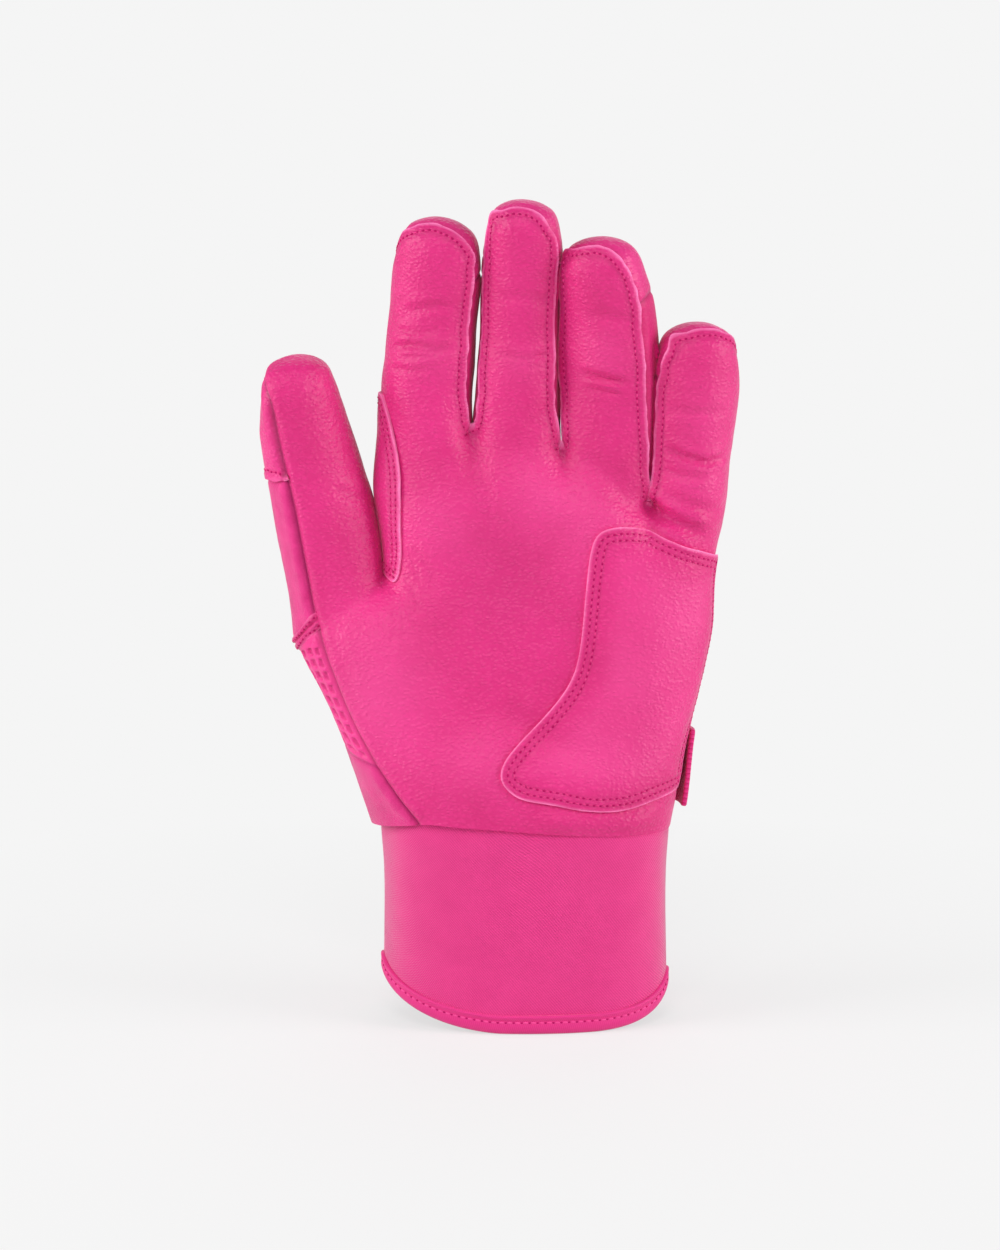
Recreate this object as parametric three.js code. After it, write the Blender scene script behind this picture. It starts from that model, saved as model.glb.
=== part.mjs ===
// A batting glove for the left hand, shaped as if worn, standing on the hem of its cuff.
// Millimetres. +Z runs up the fingers, the palm faces -Y and the thumb is on the -X side.
// The origin is the middle of the wrist opening, in the plane of the hem.
import * as THREE from "three";

// Material thicknesses and the clearance that neighbouring pieces keep
const leather = 1.0;
const stretchCloth = 1.2;
const neoprene = 2.0;
const tape = 0.9;
const strapWeb = 1.6;
const pile = 1.0;
const seam = 0.3;
const layerGap = 0.6;
const joinGap = 0.8;

// Cuff and its bound hem
const cuffWidth = 84;
const cuffDepth = 50;
const cuffTop = 65;
const hemHeight = 6;
const hemRise = 6;
const hemFlatShare = 0.62;
const cuffSquareness = 2.5;

// Hand outline: where the leather starts at the wrist, and half-depths up the hand
const wristHeight = 60;
const wristLeft = -46;
const wristRight = 43.6;
const heelRight = 50.4;
const heelHeight = 80;
const palmRight = 57.6;
const palmHeight = 133;
const handSquareness = 2.6;
const wristHalfDepth = cuffDepth / 2 + layerGap + leather;
const palmFrontDepth = 18;
const palmBackDepth = 14.5;
const wristHold = 8;
const heelSwell = 2;
const heelSwellRise = { front: 35, back: 40 };
const knuckleSwell = { front: 2, back: 1 };
const knuckleFlatHeight = 165;
const thenarSideLeft = -58;
const thenarSideHeight = 94;

// Finger stalls, from the thumb side to the outside of the hand
const fingerClearance = 0.7;
const fingers = {
  index: { width: 27.0, length: 60, tipWidth: 25.0, lean: 2.2, curl: 19, turn: -6 },
  middle: { width: 26.7, length: 74, tipWidth: 24.6, lean: 1.2, curl: 20, turn: -5 },
  ring: { width: 25.8, length: 75, tipWidth: 24.6, lean: 0.2, curl: 22, turn: -8 },
  little: { width: 22.4, length: 60, tipWidth: 24.2, lean: 4.2, curl: 17, turn: 5 },
};
const fingerNames = Object.keys(fingers);
const knuckleLeft = -42.5;
const crotchHeights = [190, 178, 173.4, 156, 151];
const fingerBaseDepth = 13;
const fingerTipDepth = 10.8;
const gussetHalfWidth = 5;
const gussetEnd = 0.84;
const tipDome = 11.5;
const tipSeamAngle = 66;
const lobeFade = 10;

// Thumb stall: the slanted line where it leaves the hand, and its own sizes
const thumbHeel = { x: -69, z: 114 };
const thumbCrotch = { x: -41, z: 135 };
const thumb = { length: 79, midWidth: 29.6, tipWidth: 23.4, lean: -11, curl: 13, turn: 24 };
const thumbBaseDepth = 13;
const thumbTipDepth = 10.2;
const thumbCapShare = 0.5;
const thenarReach = 45;

// Overlays and side panels
const heelPatchTop = { x: 22.5, z: 147.5 };
const heelPatchWaist = { x: 17, z: 101 };
const heelPatchToe = { x: -6.5, z: 77 };
const heelPatchFoot = { x: 2, z: 67.5 };
const heelPatchTopRight = 140.5;
const heelPatchBottomRight = 68;
const crotchPatchWidth = 7.5;
const crotchPatchReach = 7;
const crotchPatchStart = 14;
const crotchPatchStop = 2;
const palmSeamFoot = -29.7;
const palmSeamMiddle = { x: -50.5, z: 85 };
const thumbBandHeight = 3.4;
const sidePanelFoot = { front: 74, back: 84 };
const sideSeamFoot = -26;
const sideSeamMiddle = { x: -40, z: 90 };

// Back of the hand: knuckle panels, wrist notch and closure strap
const knucklePanelHeight = 17;
const notchHalfWidth = 9;
const notchHeight = 30;
const gussetMargin = 6;
const gussetSink = 1.2;
const strapAboveWrist = 6;
const strapFoot = wristHeight + strapAboveWrist;
const strapWidth = 22;
const strapHinge = 37;
const strapFreeEnd = -30;
const pullTabLength = 9;
const hookPatchLength = 19;
const loopPatchLength = 34;
const patchMargin = 2;

// Facets along and across the panels
const acrossFinger = 8;
const alongFinger = 7;
const acrossHandPerFinger = 5;
const acrossHeelPatch = 16;
const alongHeelPatch = 14;
const roundCuff = 36;

const colours = {
  palm: 0xe8428f,
  back: 0xe03a87,
  cloth: 0xdb3a86,
  cuff: 0xe5408d,
  trim: 0xdc3683,
};

// Plain helpers

const lerp = THREE.MathUtils.lerp;
const smoothstep = THREE.MathUtils.smoothstep;
const radians = THREE.MathUtils.degToRad;
const steps = (count, from = 0, to = 1) =>
  Array.from({ length: count + 1 }, (_, i) => lerp(from, to, i / count));
// A half circle's height over -1 to 1
const arch = (x) => Math.sqrt(Math.max(0, 1 - x * x));
// The same for a squarer outline
const squareArch = (x, power) => Math.max(0, 1 - Math.abs(x) ** power) ** (1 / power);

// A smooth curve through [position, value] stations, flat past its ends
function through(stations) {
  const slope = (i) => {
    const a = stations[Math.max(0, i - 1)];
    const b = stations[Math.min(stations.length - 1, i + 1)];
    return (b[1] - a[1]) / (b[0] - a[0]);
  };
  return (at) => {
    const last = stations.length - 1;
    if (at <= stations[0][0]) return stations[0][1];
    if (at >= stations[last][0]) return stations[last][1];
    const i = stations.findIndex((s) => s[0] > at) - 1;
    const [from, to] = [stations[i], stations[i + 1]];
    const span = to[0] - from[0];
    const u = (at - from[0]) / span;
    const h = u * u * (3 - 2 * u);
    const startPull = u * (1 - u) * (1 - u) * slope(i) * span;
    const endPull = -u * u * (1 - u) * slope(i + 1) * span;
    return lerp(from[1], to[1], h) + startPull + endPull;
  };
}

// A closed solid between two grids of points; a ring closes on itself across its columns
function shell(outer, inner, ring = false) {
  const rows = outer.length;
  const columns = outer[0].length;
  const positions = [outer, inner].flat(2).flatMap((p) => [p.x, p.y, p.z]);
  const at = (layer, j, i) => (layer * rows + j) * columns + (i % columns);
  const triangles = [];
  const quad = (a, b, c, d) => triangles.push(a, b, c, a, c, d);
  const across = ring ? columns : columns - 1;
  for (let j = 0; j < rows - 1; j++) {
    for (let i = 0; i < across; i++) {
      quad(at(0, j, i), at(0, j, i + 1), at(0, j + 1, i + 1), at(0, j + 1, i));
      quad(at(1, j, i), at(1, j + 1, i), at(1, j + 1, i + 1), at(1, j, i + 1));
    }
    if (!ring) {
      quad(at(0, j, 0), at(0, j + 1, 0), at(1, j + 1, 0), at(1, j, 0));
      quad(at(0, j + 1, across), at(0, j, across), at(1, j, across), at(1, j + 1, across));
    }
  }
  for (let i = 0; i < across; i++) {
    quad(at(0, 0, i + 1), at(0, 0, i), at(1, 0, i), at(1, 0, i + 1));
    const top = rows - 1;
    quad(at(0, top, i), at(0, top, i + 1), at(1, top, i + 1), at(1, top, i));
  }
  return facingOut(positions, triangles);
}

// The triangles as a geometry whose volume is positive
function facingOut(positions, triangles) {
  const corner = (i) => new THREE.Vector3().fromArray(positions, 3 * triangles[i]);
  let volume = 0;
  for (let i = 0; i < triangles.length; i += 3) {
    volume += corner(i).dot(corner(i + 1).cross(corner(i + 2)));
  }
  if (volume < 0) triangles.reverse();
  const geometry = new THREE.BufferGeometry();
  geometry.setAttribute("position", new THREE.Float32BufferAttribute(positions, 3));
  geometry.setIndex(triangles);
  return geometry;
}

// A sheet over a surface, from one distance off it to another; the grid holds [share, height]
function sheet(surface, grid, low, high) {
  const lifted = (lift) =>
    grid.map((row) =>
      row.map(([share, z], i) => surface(share, z, lift(i / (row.length - 1)))),
    );
  const fixed = (lift) => (typeof lift === "function" ? lift : () => lift);
  return shell(lifted(fixed(high)), lifted(fixed(low)));
}

// The hand's outline

const crotchXs = fingerNames.reduce(
  (xs, name) => [...xs, xs.at(-1) + fingers[name].width],
  [knuckleLeft],
);
const knuckleRight = crotchXs.at(-1);
const sideBelowThumb = through([
  [wristHeight, wristLeft],
  [thenarSideHeight, thenarSideLeft],
  [thumbHeel.z, thumbHeel.x],
]);
const outerSide = through([
  [wristHeight, wristRight],
  [heelHeight, heelRight],
  [palmHeight, palmRight],
  [crotchHeights.at(-1), knuckleRight],
]);

// A point on the line where the thumb leaves the hand, 0 at its heel and 1 at the crotch
const onThumbLine = (share) => ({
  x: lerp(thumbHeel.x, thumbCrotch.x, share),
  z: lerp(thumbHeel.z, thumbCrotch.z, share),
});
const thumbLineSlope = (thumbCrotch.z - thumbHeel.z) / (thumbCrotch.x - thumbHeel.x);
const thumbMiddle = onThumbLine(0.5);

function handLeft(z) {
  if (z <= thumbHeel.z) return sideBelowThumb(z);
  if (z <= thumbCrotch.z) return thumbHeel.x + (z - thumbHeel.z) / thumbLineSlope;
  const share = (z - thumbCrotch.z) / (crotchHeights[0] - thumbCrotch.z);
  return lerp(thumbCrotch.x, knuckleLeft, share);
}

// Height of the line where the finger stalls start, over the hand's width
function knuckleLine(x) {
  const inside = THREE.MathUtils.clamp(x, knuckleLeft, knuckleRight);
  const i = Math.min(fingerNames.length - 1, crotchXs.findLastIndex((c) => c <= inside));
  const share = (inside - crotchXs[i]) / (crotchXs[i + 1] - crotchXs[i]);
  return lerp(crotchHeights[i], crotchHeights[i + 1], share);
}

// The hand's depth, front and back

// Half-width of the side gusset at a finger's left and right; the outsides of the hand have none
const gussetAt = (i) => (i === 0 || i === fingerNames.length ? 0 : gussetHalfWidth);

// Depth of a finger stall's round face, share -1 to 1 across it
function stallDepth(share, depth, leftEdge, rightEdge) {
  const edge = lerp(leftEdge, rightEdge, (share + 1) / 2);
  return edge + (depth - edge) * arch(share);
}

function fingerLobes(x) {
  const inside = THREE.MathUtils.clamp(x, knuckleLeft, knuckleRight);
  const i = Math.min(fingerNames.length - 1, crotchXs.findLastIndex((c) => c <= inside));
  const share = (2 * (inside - crotchXs[i])) / (crotchXs[i + 1] - crotchXs[i]) - 1;
  return stallDepth(share, fingerBaseDepth, gussetAt(i), gussetAt(i + 1));
}

// The ball of the thumb: a round ridge that runs square from the thumb line into the palm
const thumbLineLength = Math.hypot(thumbCrotch.x - thumbHeel.x, thumbCrotch.z - thumbHeel.z);
const thumbLineDirection = new THREE.Vector2(
  (thumbCrotch.x - thumbHeel.x) / thumbLineLength,
  (thumbCrotch.z - thumbHeel.z) / thumbLineLength,
);
function thumbBall(x, z) {
  const from = new THREE.Vector2(x - thumbMiddle.x, z - thumbMiddle.z);
  const aside = from.dot(thumbLineDirection);
  const inwards = from.cross(thumbLineDirection);
  const past = Math.max(0, inwards - thenarReach);
  return thumbBaseDepth * arch(Math.hypot(aside, past) / (thumbLineLength / 2));
}

const frontDepth = through([
  [wristHeight, wristHalfDepth],
  [wristHeight + wristHold, wristHalfDepth],
  [wristHeight + heelSwellRise.front, palmFrontDepth + heelSwell],
  [palmHeight, palmFrontDepth],
  [knuckleFlatHeight, fingerBaseDepth + knuckleSwell.front],
]);
const backDepth = through([
  [wristHeight, wristHalfDepth],
  [wristHeight + wristHold, wristHalfDepth],
  [wristHeight + heelSwellRise.back, palmBackDepth + heelSwell],
  [palmHeight, palmBackDepth],
  [knuckleFlatHeight, fingerBaseDepth + knuckleSwell.back],
]);

function handDepth(x, z, depthAt) {
  const left = handLeft(z);
  const right = outerSide(z);
  const share = THREE.MathUtils.clamp((2 * (x - left)) / (right - left) - 1, -1, 1);
  const palm = depthAt(z) * squareArch(share, handSquareness);
  const top = knuckleLine(x);
  const flat = lerp(palm, fingerLobes(x), smoothstep(z, top - lobeFade, top));
  return (flat ** 4 + thumbBall(x, z) ** 4) ** 0.25;
}

// The hand's front (side -1) or back (side 1) as a surface over share across and height;
// a point is lifted off it level, so that a sheet's edges keep their height
function handSurface(side) {
  const depthAt = side < 0 ? frontDepth : backDepth;
  const place = (share, z) => {
    const x = lerp(handLeft(z), outerSide(z), (1 + Math.sin((Math.PI / 2) * share)) / 2);
    return new THREE.Vector3(x, side * (seam / 2 + handDepth(x, z, depthAt)), z);
  };
  const small = 0.004;
  return (share, z, lift) => {
    const left = place(Math.max(-1, share - small), z);
    const across = place(Math.min(1, share + small), z).sub(left);
    const out = new THREE.Vector3(-side * across.y, side * across.x, 0).normalize();
    return place(share, z).addScaledVector(out, lift);
  };
}
const handFront = handSurface(-1);
const handBack = handSurface(1);

// Share across the hand of a place at x on the row z
function shareAt(x, z) {
  const across = (2 * (x - handLeft(z))) / (outerSide(z) - handLeft(z)) - 1;
  return (2 / Math.PI) * Math.asin(THREE.MathUtils.clamp(across, -1, 1));
}

// A grid of [share, height] from a left edge, a function that gives {x, z}, to the outer side
function outerPatchGrid(left, rightFoot, rightTop, columns, rows) {
  return steps(rows).map((v) => {
    const edge = left(v);
    const from = shareAt(edge.x, edge.z);
    return steps(columns).map((u) => {
      const z = lerp(edge.z, lerp(rightFoot, rightTop, v), u);
      return [lerp(from, 1, u), z];
    });
  });
}

// Panels of the hand

// The palm's left edge: a slanting seam at the thumb's heel, then the thumb line, then the side
const seamTop = onThumbLine(0.2);
const palmSeam = through([
  [wristHeight, palmSeamFoot],
  [palmSeamMiddle.z, palmSeamMiddle.x],
  [seamTop.z, seamTop.x],
]);
const palmLeft = (z) => (z <= seamTop.z ? palmSeam(z) + seam : handLeft(z));

// Columns of the hand's panels at the knuckle line, bunched towards the finger crotches
const knuckleColumns = fingerNames.flatMap((_, i) =>
  steps(acrossHandPerFinger, -1, 1)
    .slice(i ? 1 : 0)
    .map((s) => lerp(crotchXs[i], crotchXs[i + 1], (1 + Math.sin((Math.PI / 2) * s)) / 2)),
);

// Rows from a bottom edge to a top edge, columns up between the panel's own sides. On the left
// column rows fall on the top of its slanting seam and on the thumb crotch.
function handGrid(columns, leftAt, seamHeight, bottomAt, topAt) {
  const leftTop = topAt(columns[0]);
  const heights = [
    ...steps(8, wristHeight, seamHeight),
    ...steps(3, seamHeight, thumbCrotch.z).slice(1),
    ...steps(7, thumbCrotch.z, leftTop).slice(1),
  ];
  const climbs = heights.map((z) => (z - wristHeight) / (leftTop - wristHeight));
  const shares = columns.map((x) => {
    const left = leftAt(topAt(x));
    return (x - left) / (outerSide(topAt(x)) - left);
  });
  return climbs.map((v) =>
    columns.map((x, i) => {
      const z = lerp(bottomAt(shares[i]), topAt(x), v);
      const place = lerp(leftAt(z), outerSide(z), shares[i]);
      return [shareAt(place, z), z];
    }),
  );
}

const palmLeather = sheet(
  handFront,
  handGrid(knuckleColumns, palmLeft, seamTop.z, () => wristHeight, (x) => knuckleLine(x) - seam),
  -leather,
  0,
);

// The back's left edge is a seam to the side panels, then the thumb line, then the side
const sideSeamTop = onThumbLine(0.35);
const sideSeam = through([
  [wristHeight, sideSeamFoot],
  [sideSeamMiddle.z, sideSeamMiddle.x],
  [sideSeamTop.z, sideSeamTop.x],
]);
const backLeft = (z) => (z <= sideSeamTop.z ? sideSeam(z) + seam : handLeft(z));

// The back ends below the knuckle panels and rises in a notch over the wrist
const notchRise = (share) => {
  const x = lerp(backLeft(wristHeight), wristRight, share);
  return notchHeight * squareArch(Math.min(1, Math.abs(x) / notchHalfWidth), 1.4);
};
const backLeather = sheet(
  handBack,
  handGrid(
    knuckleColumns,
    backLeft,
    sideSeamTop.z,
    (share) => wristHeight + notchRise(share),
    (x) => knuckleLine(x) - knucklePanelHeight - seam,
  ),
  -leather,
  0,
);

function knucklePanel(i) {
  const left = crotchXs[i] + fingerClearance / 2;
  const right = crotchXs[i + 1] - fingerClearance / 2;
  const grid = steps(4).map((v) =>
    steps(acrossHandPerFinger, -1, 1).map((s) => {
      const x = lerp(left, right, (1 + Math.sin((Math.PI / 2) * s)) / 2);
      const z = knuckleLine(x) - seam - (1 - v) * (knucklePanelHeight - seam);
      return [shareAt(x, z), z];
    }),
  );
  return sheet(handBack, grid, -stretchCloth, 0);
}

// Side panels between the palm's slanting seam and the back's, going round the thumb side.
// Heights are functions of the place across: -1 at the palm, 0 at the side, 1 at the back.
function sidePanel(bottomAt, topAt, rows, thickness) {
  const across = 5;
  const heightAt = (place, v) => lerp(bottomAt(place), topAt(place), v);
  const points = (lift) =>
    steps(rows).map((v) => [
      ...steps(across, 1, 0).map((u) => {
        const z = heightAt(-u, v);
        return handFront(shareAt(lerp(handLeft(z), palmSeam(z) - layerGap, u), z), z, lift);
      }),
      ...steps(across).map((u) => {
        const z = heightAt(u, v);
        return handBack(shareAt(lerp(handLeft(z), sideSeam(z) - layerGap, u), z), z, lift);
      }),
    ]);
  return shell(points(0), points(-thickness));
}

const bandTop = (place) =>
  lerp(thumbHeel.z, place < 0 ? seamTop.z : sideSeamTop.z, Math.abs(place)) - seam;
const bandFoot = (place) => bandTop(place) - thumbBandHeight;
const sideFoot = (place) => lerp(sidePanelFoot.front, sidePanelFoot.back, (place + 1) / 2);
const thumbBand = sidePanel(bandFoot, bandTop, 1, leather);
const dimpledSidePanel = sidePanel(sideFoot, (place) => bandFoot(place) - seam, 6, leather);
const wristSidePanel = sidePanel(() => wristHeight, (place) => sideFoot(place) - seam, 3, leather);

// Reinforcing patches that lie on the palm leather
const heelEdge = new THREE.CatmullRomCurve3(
  [heelPatchFoot, heelPatchToe, heelPatchWaist, heelPatchTop].map(
    (p) => new THREE.Vector3(p.x, 0, p.z),
  ),
);
const heelPatch = sheet(
  handFront,
  outerPatchGrid((t) => heelEdge.getPoint(t), heelPatchBottomRight, heelPatchTopRight, acrossHeelPatch, alongHeelPatch),
  layerGap,
  layerGap + leather,
);

// The patch between thumb and first finger folds round the side of the hand
const crotchPatchFoot = thumbCrotch.z + crotchPatchStart;
const crotchPatchTop = crotchHeights[0] - crotchPatchStop;
const crotchPatchPoints = (lift) =>
  steps(8).map((v) => {
    const z = lerp(crotchPatchFoot, crotchPatchTop, v);
    const taper = Math.min(1, 2.5 * (1 - v) + 0.15);
    const front = shareAt(handLeft(z) + crotchPatchWidth * taper, z);
    const back = shareAt(handLeft(z) + crotchPatchReach, z);
    return [
      ...steps(5).map((u) => handFront(lerp(front, -1, u), z, lift)),
      ...steps(5).map((u) => handBack(lerp(-1, back, u), z, lift)),
    ];
  });
const crotchPatch = shell(crotchPatchPoints(layerGap + leather), crotchPatchPoints(layerGap));

// Cuff and hem

// Outline of the cuff at an angle, pushed out by an offset, with its outward direction
function cuffOutline(angle, offset) {
  const power = 2 / cuffSquareness;
  const bent = (value) => Math.sign(value) * Math.abs(value) ** power;
  const across = (cuffWidth / 2) * bent(Math.cos(angle));
  const deep = (cuffDepth / 2) * bent(Math.sin(angle));
  const flatter = (value, half) => Math.sign(value) * Math.abs(value / half) ** (cuffSquareness - 1) / half;
  const out = new THREE.Vector2(flatter(across, cuffWidth / 2), flatter(deep, cuffDepth / 2)).normalize();
  return new THREE.Vector3(across + offset * out.x, deep + offset * out.y, 0);
}
// The hem is flat at the front and back and lifts at the two sides
const hemLift = (angle) => hemRise * smoothstep(Math.abs(Math.cos(angle)), hemFlatShare, 1);
const cuffAngles = steps(roundCuff, 0, 2 * Math.PI).slice(0, -1);
const cuffPoint = (angle, offset, z) => cuffOutline(angle, offset).setZ(z);

const cuffWall = (offset) =>
  [tape + seam, hemHeight + 2, (hemHeight + cuffTop) / 2, wristHeight - 1, cuffTop].map((z, j) =>
    cuffAngles.map((angle) => cuffPoint(angle, offset, z + hemLift(angle) * Math.max(0, 1 - j / 2))),
  );
const cuffSleeve = shell(cuffWall(0), cuffWall(-neoprene), true);

// The hem tape folds round the cuff's lower edge: out, under and up inside
const tapeSection = [
  [seam + tape, 0],
  [seam + tape, hemHeight],
  [seam, hemHeight],
  [seam, tape],
  [-neoprene - seam, tape],
  [-neoprene - seam, hemHeight],
  [-neoprene - seam - tape, hemHeight],
  [-neoprene - seam - tape, 0],
];
function hemTape() {
  const points = tapeSection.map(([offset, z]) =>
    cuffAngles.map((angle) => cuffPoint(angle, offset, z + hemLift(angle))),
  );
  const positions = points.flat().flatMap((p) => [p.x, p.y, p.z]);
  const triangles = [];
  tapeSection.forEach((_, j) => {
    cuffAngles.forEach((_, i) => {
      const next = (j + 1) % tapeSection.length;
      const aside = (i + 1) % roundCuff;
      const [a, b] = [j * roundCuff + i, j * roundCuff + aside];
      const [c, d] = [next * roundCuff + aside, next * roundCuff + i];
      triangles.push(a, b, c, a, c, d);
    });
  });
  return facingOut(positions, triangles);
}

// Closure on the back of the wrist

const strapTop = strapFoot + strapWidth;
const onBack = (from, to, low, high, columns, rows) =>
  steps(rows).map((v) =>
    steps(columns).map((u) => {
      const z = lerp(low, high, v);
      return [shareAt(lerp(from, to, u), z), z];
    }),
  );
const loopLift = layerGap;
const hookLift = loopLift + pile + seam;
const strapLift = hookLift + pile + seam;
// The strap lies on the back at its sewn end and rises over the two patches
const strapRise = (u) => lerp(strapLift, layerGap, smoothstep(u, 0.45, 0.95));

const wristGusset = sheet(
  handBack,
  onBack(
    -notchHalfWidth - gussetMargin,
    notchHalfWidth + gussetMargin,
    cuffTop + seam,
    wristHeight + notchHeight + gussetMargin,
    6,
    6,
  ),
  -leather - gussetSink - stretchCloth,
  -leather - gussetSink,
);
const patchOnBack = (from, length, low, high) =>
  sheet(
    handBack,
    onBack(from, from + length, strapFoot + patchMargin, strapTop - patchMargin, 6, 4),
    low,
    high,
  );
const loopPatch = patchOnBack(strapFreeEnd, loopPatchLength, loopLift, loopLift + pile);
const hookPatch = patchOnBack(strapFreeEnd, hookPatchLength, hookLift, hookLift + pile);
const pullTab = patchOnBack(
  strapFreeEnd - seam - pullTabLength,
  pullTabLength,
  strapLift,
  strapLift + strapWeb,
);
const wristStrap = sheet(
  handBack,
  onBack(strapFreeEnd, strapHinge, strapFoot, strapTop, 14, 4),
  strapRise,
  (u) => strapRise(u) + strapWeb,
);
const strapAnchor = sheet(
  handBack,
  steps(4).map((v) =>
    steps(6).map((u) => {
      const z = lerp(strapFoot, strapTop, v);
      return [lerp(shareAt(strapHinge + 2 * seam, z), 1, u), z];
    }),
  ),
  layerGap,
  layerGap + strapWeb,
);

// Finger and thumb stalls

// A stall bends forward along its length and carries round faces between two side edges.
// place(along, share, side, inset) is a point on its front (side -1) or back (side 1).
// along runs 0 to 1 up to the start of the tip's dome, and past 1 in degrees over the dome.
function stall({ base, slope, length, widths, depths, lean, curl, turn, edges }) {
  const straightLength = length - tipDome;
  const widthAt = through(widths);
  const slices = 40;
  const spine = [base.clone()];
  const leanAt = (t) => radians(lean) * Math.min(1, 4 * t);
  const heading = (t) => {
    const forward = radians(curl) * t ** 1.4;
    const aside = leanAt(t);
    return new THREE.Vector3(
      Math.sin(aside) * Math.cos(forward),
      -Math.sin(forward),
      Math.cos(aside) * Math.cos(forward),
    );
  };
  for (let k = 0; k < slices; k++) {
    const step = heading((k + 0.5) / slices).multiplyScalar(straightLength / slices);
    spine.push(spine.at(-1).clone().add(step));
  }
  const frame = (t) => {
    const at = t * slices;
    const k = Math.min(slices - 1, Math.floor(at));
    const centre = spine[k].clone().lerp(spine[k + 1], at - k);
    const up = heading(t);
    const level = new THREE.Vector3(Math.cos(leanAt(t)), 0, -Math.sin(leanAt(t)));
    const roll = radians(turn) * smoothstep(t, 0, 0.6);
    const aside = level.applyAxisAngle(up, roll);
    return { centre, up, aside, rear: up.clone().cross(aside) };
  };
  const edgeAt = (t) => edges.map((edge) => edge * (1 - t ** 1.5));
  const place = (along, share, side, inset) => {
    const t = Math.min(1, along);
    const { centre, up, aside, rear } = frame(t);
    const half = widthAt(t) / 2 - inset;
    const depth = lerp(depths[0], depths[1], t) - inset;
    const slant = slope * half * share * (1 - t) ** 2;
    const over = radians(Math.max(0, along - 1));
    const [left, right] = edgeAt(t);
    const deep = over > 0 ? depth * arch(share) * Math.cos(over) : stallDepth(share, depth, left, right);
    const rise = (tipDome - inset) * arch(share) * Math.sin(over);
    return centre
      .addScaledVector(aside, half * share)
      .addScaledVector(rear, side * deep)
      .addScaledVector(up, slant + rise);
  };
  const gusset = (side, t, across, inset) => {
    const { centre, up, aside, rear } = frame(t);
    const half = widthAt(t) / 2 - inset;
    const edge = Math.max(0, edgeAt(t)[side < 0 ? 0 : 1] - seam);
    return centre
      .addScaledVector(aside, side * half)
      .addScaledVector(rear, across * edge)
      .addScaledVector(up, slope * side * half * (1 - t) ** 2);
  };
  return { place, gusset };
}

// Shares across a round face, bunched towards its edges and stopping just short of them
const faceShares = steps(acrossFinger, -0.96, 0.96).map((s) => Math.sin((Math.PI / 2) * s));

// One face of a stall over a list of places along it
function stallFace(made, side, alongs) {
  const points = (inset) =>
    alongs.map((along) => faceShares.map((share) => made.place(along, share, side, inset)));
  return shell(points(0), points(leather));
}

const bodyAlongs = (from = 0, to = 1) => steps(alongFinger, from, to);
const domeAlongs = (degrees) => [0.35, 0.68, 1].map((share) => 1 + share * degrees);
const tipSeamGap = THREE.MathUtils.radToDeg(seam / tipDome);

function sideGusset(made, side) {
  const rows = steps(alongFinger, 0, gussetEnd);
  const points = (inset) =>
    rows.map((t) => [-1, 1].map((across) => made.gusset(side, t, across, inset)));
  return shell(points(0), points(leather));
}

function fingerStall(i) {
  const size = fingers[fingerNames[i]];
  const left = crotchXs[i];
  const right = crotchXs[i + 1];
  const rise = crotchHeights[i + 1] - crotchHeights[i];
  return stall({
    base: new THREE.Vector3((left + right) / 2, 0, knuckleLine((left + right) / 2) + joinGap - seam),
    slope: rise / (right - left),
    length: size.length,
    widths: [
      [0, size.width - fingerClearance],
      [1, size.tipWidth - fingerClearance],
    ],
    depths: [fingerBaseDepth, fingerTipDepth],
    lean: size.lean,
    curl: size.curl,
    turn: size.turn,
    edges: [gussetAt(i), gussetAt(i + 1)],
  });
}

const thumbStall = stall({
  base: new THREE.Vector3(thumbMiddle.x, 0, thumbMiddle.z + joinGap),
  slope: thumbLineSlope,
  length: thumb.length,
  widths: [
    [0, thumbCrotch.x - thumbHeel.x - joinGap],
    [0.45, thumb.midWidth],
    [1, thumb.tipWidth],
  ],
  depths: [thumbBaseDepth, thumbTipDepth],
  lean: thumb.lean,
  curl: thumb.curl,
  turn: thumb.turn,
  edges: [0, 0],
});

// Putting the glove together

const glove = new THREE.Group();
glove.name = "batting_glove";

function add(name, geometry, colour, roughness) {
  const material = new THREE.MeshStandardMaterial({ color: colour, roughness, metalness: 0 });
  const mesh = new THREE.Mesh(geometry, material);
  mesh.name = name;
  glove.add(mesh);
}

add("palm_leather", palmLeather, colours.palm, 0.5);
add("heel_patch", heelPatch, colours.palm, 0.5);
add("thumb_crotch_patch", crotchPatch, colours.palm, 0.5);
add("back_leather", backLeather, colours.back, 0.55);
add("thumb_band", thumbBand, colours.back, 0.6);
add("dimpled_side_panel", dimpledSidePanel, colours.back, 0.6);
add("wrist_side_panel", wristSidePanel, colours.cloth, 0.85);
add("cuff_sleeve", cuffSleeve, colours.cuff, 0.8);
add("cuff_hem_tape", hemTape(), colours.trim, 0.7);
add("wrist_gusset", wristGusset, colours.cloth, 0.85);
add("strap_anchor", strapAnchor, colours.trim, 0.6);
add("loop_patch", loopPatch, colours.cloth, 0.95);
add("wrist_strap", wristStrap, colours.trim, 0.6);
add("hook_patch", hookPatch, colours.cloth, 0.7);
add("strap_pull_tab", pullTab, colours.trim, 0.5);

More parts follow.
